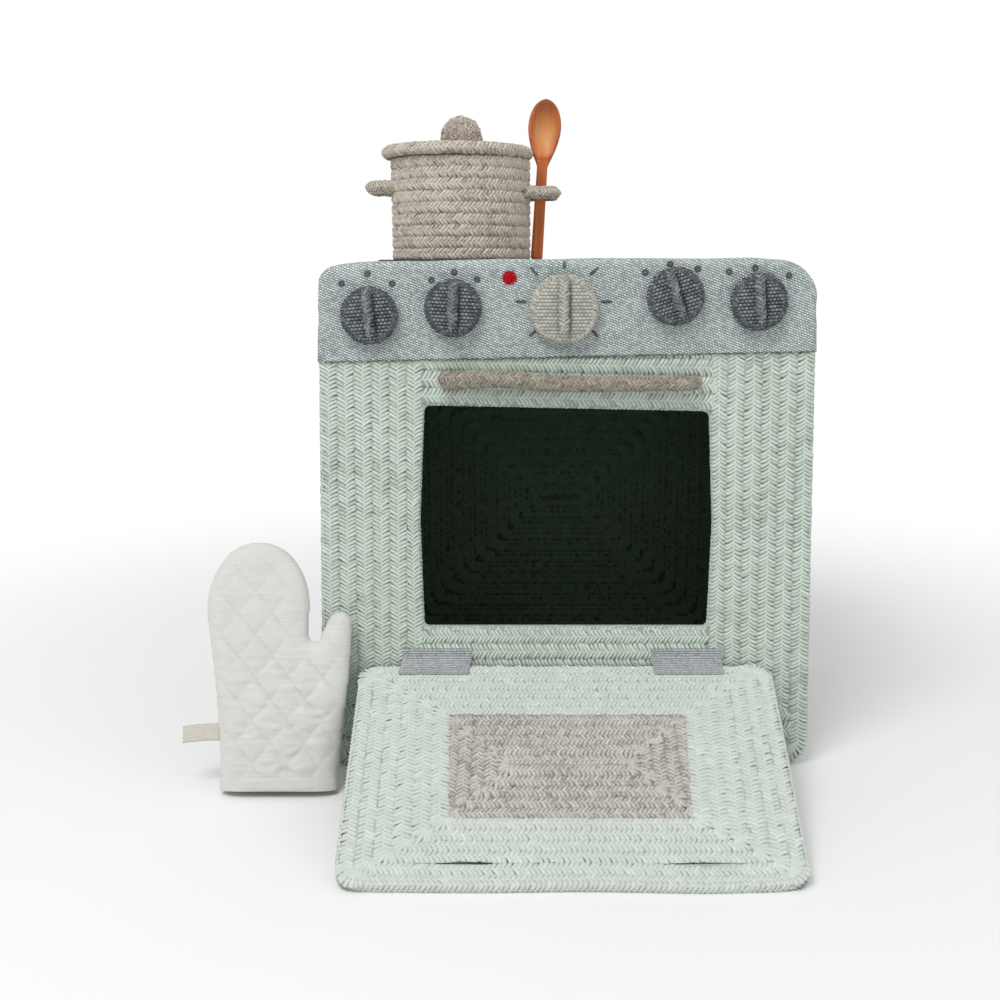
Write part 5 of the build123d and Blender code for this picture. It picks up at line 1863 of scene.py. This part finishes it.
def wood_material(wood):
    """Oiled wood: long grain and darker streaks, with painted shade over the top of the bowl and painted
    light low in its hollow.
    """
    made, tree, shader = new_material("oiled_wood", 0.42)
    shader.inputs["Specular IOR Level"].default_value = 0.45
    along = cloth_map(tree)
    grain = speckle(tree, stretched(tree, along, (900.0, 22.0, 1.0)), 1.0, 5.0, 0.6)
    streaks = speckle(tree, stretched(tree, along, (260.0, 9.0, 1.0)), 1.0)
    value = maths(tree, "ADD", maths(tree, "MULTIPLY", grain, 0.55), maths(tree, "MULTIPLY", streaks, 0.45))
    body = blended(tree, ramped(tree, value, 0.3, 0.68), linear(wood.wood_dark), linear(wood.wood))
    # Painted shade where the shade attribute is set, over the top of the bowl
    shade = maths(tree, "MULTIPLY", attribute(tree, "shade"), 0.7)
    deep = blended(tree, shade, body, linear(darker(wood.wood_dark, 0.85)))
    # Painted light where the worn attribute is set, low in the bowl's hollow
    worn = maths(tree, "MULTIPLY", attribute(tree, "worn"), 0.8)
    tone = blended(tree, worn, deep, linear(wood.wood_lit_bowl))
    tree.links.new(maths(tree, "MULTIPLY_ADD", grain, 0.25, 0.32), shader.inputs["Roughness"])
    painted(tree, shader, tone, grain, 0.15 * MM, 0.5)
    return made


class KITCHEN_OT_spoon(bpy.types.Operator):
    """Carve the wooden spoon"""

    bl_idname = "kitchen.spoon"
    bl_label = "Spoon"

    def execute(self, context):
        wood = wood_material(context.scene.kitchen_spoon)
        finish_piece(spoon_shape(wood), "spoon", "spoon_wood", "spoon")
        return {"FINISHED"}


class MittFrame:
    """Places on the leaning mitt: u across, v up from the cuff, w forward."""

    lean = radians(16.5)
    origin = Vector((-241.7, -203.8, 11.5 * sin(lean) + 0.2))
    up = Vector((0.0, sin(lean), cos(lean)))
    ahead = Vector((0.0, -cos(lean), sin(lean)))

    @classmethod
    def place(cls, u, v, w):
        return cls.origin + Vector((u, 0.0, 0.0)) + cls.up * v + cls.ahead * w


def arc_points(start, middle, end, count):
    """Points of the arc through three points, without its last one."""
    ax, ay = start
    bx, by = middle
    cx, cy = end
    d = 2 * (ax * (by - cy) + bx * (cy - ay) + cx * (ay - by))
    ux = ((ax**2 + ay**2) * (by - cy) + (bx**2 + by**2) * (cy - ay) + (cx**2 + cy**2) * (ay - by)) / d
    uy = ((ax**2 + ay**2) * (cx - bx) + (bx**2 + by**2) * (ax - cx) + (cx**2 + cy**2) * (bx - ax)) / d
    radius = hypot(ax - ux, ay - uy)
    first = atan2(ay - uy, ax - ux)
    through = (atan2(by - uy, bx - ux) - first) % (2 * pi)
    sweep = (atan2(cy - uy, cx - ux) - first) % (2 * pi)
    if through > sweep:
        sweep -= 2 * pi
    return [
        (ux + radius * cos(first + sweep * i / count), uy + radius * sin(first + sweep * i / count))
        for i in range(count)
    ]


def mitt_outline():
    """Outline of the mitt from the left end of the cuff round to its right end."""
    points = arc_points((-48.5, 0.0), (-52.5, 60.0), (-62.5, 138.0), 40)
    points += arc_points((-62.5, 138.0), (-58.5, 179.0), (-45.0, 199.5), 26)
    points += arc_points((-45.0, 199.5), (-20.5, 208.0), (4.0, 199.5), 22)
    points += arc_points((4.0, 199.5), (18.5, 179.0), (23.5, 148.0), 24)
    points += [(23.5, 148.0 - 18.0 * i / 8) for i in range(8)]
    points += arc_points((23.5, 130.0), (28.0, 124.0), (33.0, 129.5), 10)
    points += [(33.0 + 7.4 * i / 6, 129.5 + 14.2 * i / 6) for i in range(6)]
    points += arc_points((40.4, 143.7), (51.3, 148.8), (60.0, 138.0), 14)
    points += arc_points((60.0, 138.0), (56.8, 83.0), (48.5, 0.0), 60)
    points.append((48.5, 0.0))
    return np.array(points)


def cotton_material(colour):
    """Soft unbleached cotton with a fine plain weave and slubs."""
    made, tree, shader = new_material("quilt_cotton", 0.92, 0.15)
    weave = placed(tree, woven_cloth(), Grain=0.75 * MM, Rib=0.75 * MM)
    fuzz = placed(tree, cotton_fuzz(), Fineness=1100.0)
    slub = speckle(tree, stretched(tree, cloth_map(tree), (30.0, 700.0, 1.0)), 1.0)
    fluff = maths(tree, "MULTIPLY", fuzz["Tone"], 0.4)
    uneven = maths(tree, "ADD", maths(tree, "MULTIPLY", slub, 0.35), fluff)
    # The weave's low spots are painted a little darker, as painted shade; the slubs and fluff are the
    # cotton's own uneven tone
    value = maths(tree, "ADD", maths(tree, "MULTIPLY", weave["Height"], 0.3), uneven)
    shown = ramped(tree, value, 0.25, 0.85)
    tone = blended(tree, shown, linear(darker(colour, 0.93)), linear(lighter(colour, 0.25)))
    painted(tree, shader, tone, maths(tree, "MULTIPLY_ADD", slub, 0.6, weave["Height"]), 0.22 * MM, 0.7)
    return made


def to_outline(points, outline):
    """Distance from each point to the outline, and the nearest point on it."""
    best = np.full(len(points), np.inf)
    near = np.zeros(points.shape)
    for start, end in zip(outline[:-1], outline[1:]):
        run = end - start
        share = np.clip(((points - start) @ run) / max(run @ run, 1e-9), 0.0, 1.0)
        foot = start + share[:, None] * run
        away = np.hypot(*(points - foot).T)
        closer = away < best
        best = np.where(closer, away, best)
        near[closer] = foot[closer]
    return best, near


def within(points, outline):
    """Whether each point lies inside the outline."""
    u, v = points[:, 0], points[:, 1] + 1e-6
    inside = np.zeros(len(points), bool)
    loop = np.vstack([outline, outline[:1]])
    for (ax, ay), (bx, by) in zip(loop[:-1], loop[1:]):
        if ay != by:
            inside ^= ((ay > v) != (by > v)) & (u < (bx - ax) * (v - ay) / (by - ay) + ax)
    return inside


def half_thickness(mitt, u, v, d, sign):
    """Distance of the front or back layer from the middle of the mitt, at d from its outline."""
    width, height = mitt.quilt_width / MM, mitt.quilt_height / MM
    edge = min(d / 20.0, 1.0)
    base = MITT_HALF * (1 - (1 - edge) ** 2.4) ** 0.5
    askew = 0.07 * rumple(u / 32.0, v / 32.0, 12.0)
    a = u / width + v / height + 0.18 + askew
    b = u / width - v / height + 0.31 + 1.6 * askew
    fa, fb = abs(a - round(a)), abs(b - round(b))
    run = 1.0 / hypot(1.0 / width, 1.0 / height)
    groove = max(1.4 * bell(fa * run, 0.0, 1.5), 0.4 * bell(fb * run, 0.0, 1.7))
    hem = clamp((v - 10.0) / 6.0)
    puff = (sin(pi * fa) * sin(pi * fb)) ** 0.7
    flat = 1.0 - 0.4 * clamp((v - 120.0) / 50.0)
    quilt = (mitt.puff / MM * puff - mitt.stitch_depth / MM * groove) * edge * hem * flat
    crease = rumple(u / 34.0, v / 8.0, 3.0 * sign)
    soft = rumple(u / 30.0, v / 30.0, 5.0 * sign)
    crumple = rumple(u / 11.0, v / 5.5, 8.0 * sign)
    wrinkle = 0.3 - abs(rumple(u / 20.0, v / 6.5, 14.0 * sign))
    low = clamp((140.0 - v) / 60.0, 0.25) * hem
    worn = 1.0 * crease + 0.9 * crumple + 2.4 * wrinkle
    return sign * (base + quilt + (worn * low + 0.6 * soft) * edge)


def mitt_shell(mitt, material):
    """Two quilted layers that meet at the seam, with a hollow between them."""
    outline = mitt_outline()
    step = 1.6
    us = np.arange(-70.0, 70.0 + step, step)
    vs = np.arange(0.0, 210.0 + step, step)
    grid = np.stack(np.meshgrid(us, vs, indexing="ij"), axis=-1)
    points = grid.reshape(-1, 2)
    distance, near = to_outline(points, outline)
    distance = np.where(within(points, outline), distance, -distance).reshape(grid.shape[:2])
    near = near.reshape(grid.shape)
    made = bmesh.new()
    layer = made.loops.layers.uv.new(CLOTH)
    spots = {}
    verts = {}

    def corner(sign, i, j):
        d = distance[i, j] if distance[i, j] > EDGE_SNAP else 0.0
        u, v = grid[i, j] if d else near[i, j]
        on_seam = d == 0.0 and v > 0.0
        key = (0 if on_seam else sign, i, j)
        if key not in verts:
            w = 0.0 if on_seam else half_thickness(mitt, u, v, d, sign)
            verts[key] = made.verts.new(MittFrame.place(u, v, w) * MM)
            spots[verts[key]] = (u * MM, v * MM)
        return verts[key]

    for i in range(len(us) - 1):
        for j in range(len(vs) - 1):
            corners = ((i, j), (i + 1, j), (i + 1, j + 1), (i, j + 1))
            if max(distance[c] for c in corners) <= EDGE_SNAP:
                continue
            for sign in (1.0, -1.0):
                face = list(dict.fromkeys(corner(sign, *c) for c in corners))
                if len(face) > 2:
                    made.faces.new(face if sign > 0 else face[::-1])
    lay_map(made.faces, layer, spots.get)
    bmesh.ops.remove_doubles(made, verts=made.verts, dist=0.15 * MM)
    return modified(sewn(made, "mitt_quilt", material), "SUBSURF", levels=1, render_levels=1)


def mitt_hem(material):
    """Binding folded over the edge of the cuff."""
    made = bmesh.new()
    layer = made.loops.layers.uv.new(CLOTH)
    rings = []
    for turn in turns(120):
        c, s = cos(turn), sin(turn)
        u, w = CUFF_HALF * copysign(abs(c) ** 0.9, c), MITT_HALF * copysign(abs(s) ** 0.62, s)
        out = Vector((c / CUFF_HALF, s / MITT_HALF)).normalized()
        ring = []
        for offset, height in HEM_PROFILE:
            side = out * (offset + 0.3 * rumple(u / 9.0, height / 6.0, copysign(4.0, s)))
            ring.append(made.verts.new(MittFrame.place(u + side.x * 0.5, height, w + side.y) * MM))
        rings.append(ring)
    faces = skin(made, rings + rings[:1], closed=False, flip=True)
    lay_map(faces, layer, lambda corner: (corner.co.x, corner.co.z))
    bmesh.ops.recalc_face_normals(made, faces=made.faces)
    return sewn(made, "mitt_binding", material)


def mitt_loop(material):
    """Flat tape folded back on itself."""
    made = bmesh.new()
    layer = made.loops.layers.uv.new(CLOTH)
    line = [(-50.0 - 31.0 * i / 12, 0.9) for i in range(13)]
    line += [(-81.4, 0.5), (-81.5, 0.0), (-81.4, -0.5)]
    line += [(-81.0 + 31.0 * i / 12, -0.9) for i in range(13)]
    rows = []
    spots = {}
    run = 0.0
    for u, w in line:
        sag = 0.0025 * (u + 50.0) ** 2
        row = []
        for j in range(9):
            v = 41.0 + 14.0 * j / 8
            ripple = 0.2 * rumple(u / 8.0, v / 6.0, 9.0)
            row.append(made.verts.new(MittFrame.place(u, v - sag, w + ripple) * MM))
        if rows:
            run += (row[0].co - rows[-1][0].co).length
        spots |= {vert: (run, j * 1.75 * MM) for j, vert in enumerate(row)}
        rows.append(row)
    lay_map(skin(made, rows, closed=False, flip=True), layer, spots.get)
    return modified(sewn(made, "mitt_loop_tape", material), "SOLIDIFY", thickness=0.8 * MM, offset=0.0)


class KITCHEN_OT_mitt(bpy.types.Operator):
    """Quilt the mitt, bind its cuff and sew on its loop"""

    bl_idname = "kitchen.mitt"
    bl_label = "Mitt"

    def execute(self, context):
        mitt = context.scene.kitchen_mitt
        cotton = cotton_material(mitt.cotton)
        shell = mitt_shell(mitt, cotton)
        finish_piece(shell, "mitt", "mitt_cotton", "mitt_front", "mitt_back", "mitt_seam")
        finish_piece(mitt_hem(cotton), "mitt", "mitt_cotton", "mitt_hem")
        tape = cloth_material("loop_tape", mitt.tape, 1.0 * MM, 1.4 * MM, 0.3 * MM, 0.12)
        finish_piece(mitt_loop(tape), "mitt", "mitt_tape", "mitt_loop")
        return {"FINISHED"}


def floor_material(colour):
    """Pale floor that fades to white away from the part, for the camera only."""
    made, tree, shader = new_material("pale_floor", 0.9)
    place = object_place(tree)
    tone = blended(tree, speckle(tree, place, 3.0), linear(colour), linear(darker(colour, 0.99)))
    tree.links.new(tone, shader.inputs["Base Color"])
    away = node(tree, "ShaderNodeVectorMath", {0: place}, operation="LENGTH").outputs["Value"]
    seen = node(tree, "ShaderNodeLightPath").outputs["Is Camera Ray"]
    faded = maths(tree, "MULTIPLY", ramped(tree, away, 0.35, 1.1), seen)
    glow = node(tree, "ShaderNodeEmission", {"Color": WHITE, "Strength": 1.0}).outputs[0]
    both = node(tree, "ShaderNodeMixShader", {0: faded, 1: shader.outputs[0], 2: glow}).outputs[0]
    tree.links.new(both, tree.nodes["Material Output"].inputs["Surface"])
    return made


def studio_world(strength):
    """Even light from all round; the camera and reflections see plain white."""
    world = bpy.data.worlds.new("studio")
    world.use_nodes = True
    tree = world.node_tree
    light = tree.nodes["Background"]
    light.inputs["Color"].default_value = WHITE
    light.inputs["Strength"].default_value = strength
    white = node(tree, "ShaderNodeBackground", {"Color": WHITE, "Strength": 1.0}).outputs[0]
    path = node(tree, "ShaderNodeLightPath").outputs
    seen = maths(tree, "MAXIMUM", path["Is Camera Ray"], path["Is Glossy Ray"])
    seen = maths(tree, "MAXIMUM", seen, path["Is Transmission Ray"])
    both = node(tree, "ShaderNodeMixShader", {0: seen, 1: light.outputs[0], 2: white}).outputs[0]
    tree.links.new(both, tree.nodes["World Output"].inputs["Surface"])
    return world


def hang_lamp(name, place, aim, size, power):
    light = bpy.data.lights.new(name, "AREA")
    light.energy = power
    light.size = size
    lamp = link(name, light)
    lamp.location = place
    lamp.rotation_euler = (Vector(aim) - Vector(place)).to_track_quat("-Z", "Y").to_euler()


class KITCHEN_OT_stage(bpy.types.Operator):
    """Lay the pale floor, hang the soft lights and set the camera"""

    bl_idname = "kitchen.stage"
    bl_label = "Stage"

    def execute(self, context):
        scene = context.scene
        stage = scene.kitchen_stage
        scene.view_settings.view_transform = "Standard"
        made = bmesh.new()
        bmesh.ops.create_grid(made, x_segments=2, y_segments=2, size=30.0)
        sewn(made, "floor", floor_material(stage.floor))
        scene.world = studio_world(stage.sky)
        hang_lamp("key", (-0.8, -1.5, 2.3), (0.0, -0.1, 0.2), 1.1, stage.key)
        hang_lamp("fill", (1.8, -1.1, 1.1), (0.0, 0.0, 0.2), 1.4, stage.fill)
        eye = bpy.data.cameras.new("camera")
        eye.lens = stage.lens
        eye.sensor_width = 36.0
        eye.shift_x = stage.shift
        camera = link("camera", eye)
        camera.location = (stage.aside, -stage.distance, stage.height)
        camera.rotation_euler = (pi / 2 - stage.tilt, 0.0, 0.0)
        scene.camera = camera
        return {"FINISHED"}


OPERATORS = (
    KITCHEN_OT_stage,
    KITCHEN_OT_cabinet,
    KITCHEN_OT_oven,
    KITCHEN_OT_cover,
    KITCHEN_OT_pull,
    KITCHEN_OT_door,
    KITCHEN_OT_straps,
    KITCHEN_OT_knobs,
    KITCHEN_OT_marks,
    KITCHEN_OT_pot,
    KITCHEN_OT_spoon,
    KITCHEN_OT_mitt,
)


class KITCHEN_PT_panel(bpy.types.Panel):
    """Pieces of the toy kitchen"""

    bl_idname = "KITCHEN_PT_panel"
    bl_label = "Rope kitchen"
    bl_space_type = "VIEW_3D"
    bl_region_type = "UI"
    bl_category = "Kitchen"

    def draw(self, context):
        for settings in SETTINGS:
            group = getattr(context.scene, settings)
            box = self.layout.box()
            for key in group.__annotations__:
                box.prop(group, key)
        for operator in OPERATORS:
            self.layout.operator(operator.bl_idname)


SETTINGS = {
    "kitchen_rope": KitchenRope,
    "kitchen_cloth": KitchenCloth,
    "kitchen_mitt": KitchenMitt,
    "kitchen_spoon": KitchenSpoon,
    "kitchen_stage": KitchenStage,
}


def register():
    for name, settings in SETTINGS.items():
        bpy.utils.register_class(settings)
        setattr(bpy.types.Scene, name, PointerProperty(type=settings))
    for operator in OPERATORS:
        bpy.utils.register_class(operator)
    bpy.utils.register_class(KITCHEN_PT_panel)


def unregister():
    bpy.utils.unregister_class(KITCHEN_PT_panel)
    for operator in reversed(OPERATORS):
        bpy.utils.unregister_class(operator)
    for name, settings in SETTINGS.items():
        delattr(bpy.types.Scene, name)
        bpy.utils.unregister_class(settings)


def main():
    """Dress the whole kitchen."""
    register()
    bpy.ops.kitchen.stage()
    bpy.ops.kitchen.cabinet()
    bpy.ops.kitchen.oven()
    bpy.ops.kitchen.cover()
    bpy.ops.kitchen.pull()
    bpy.ops.kitchen.door()
    bpy.ops.kitchen.straps()
    bpy.ops.kitchen.knobs()
    bpy.ops.kitchen.marks()
    bpy.ops.kitchen.pot()
    bpy.ops.kitchen.spoon()
    bpy.ops.kitchen.mitt()


if __name__ == "__main__":
    main()
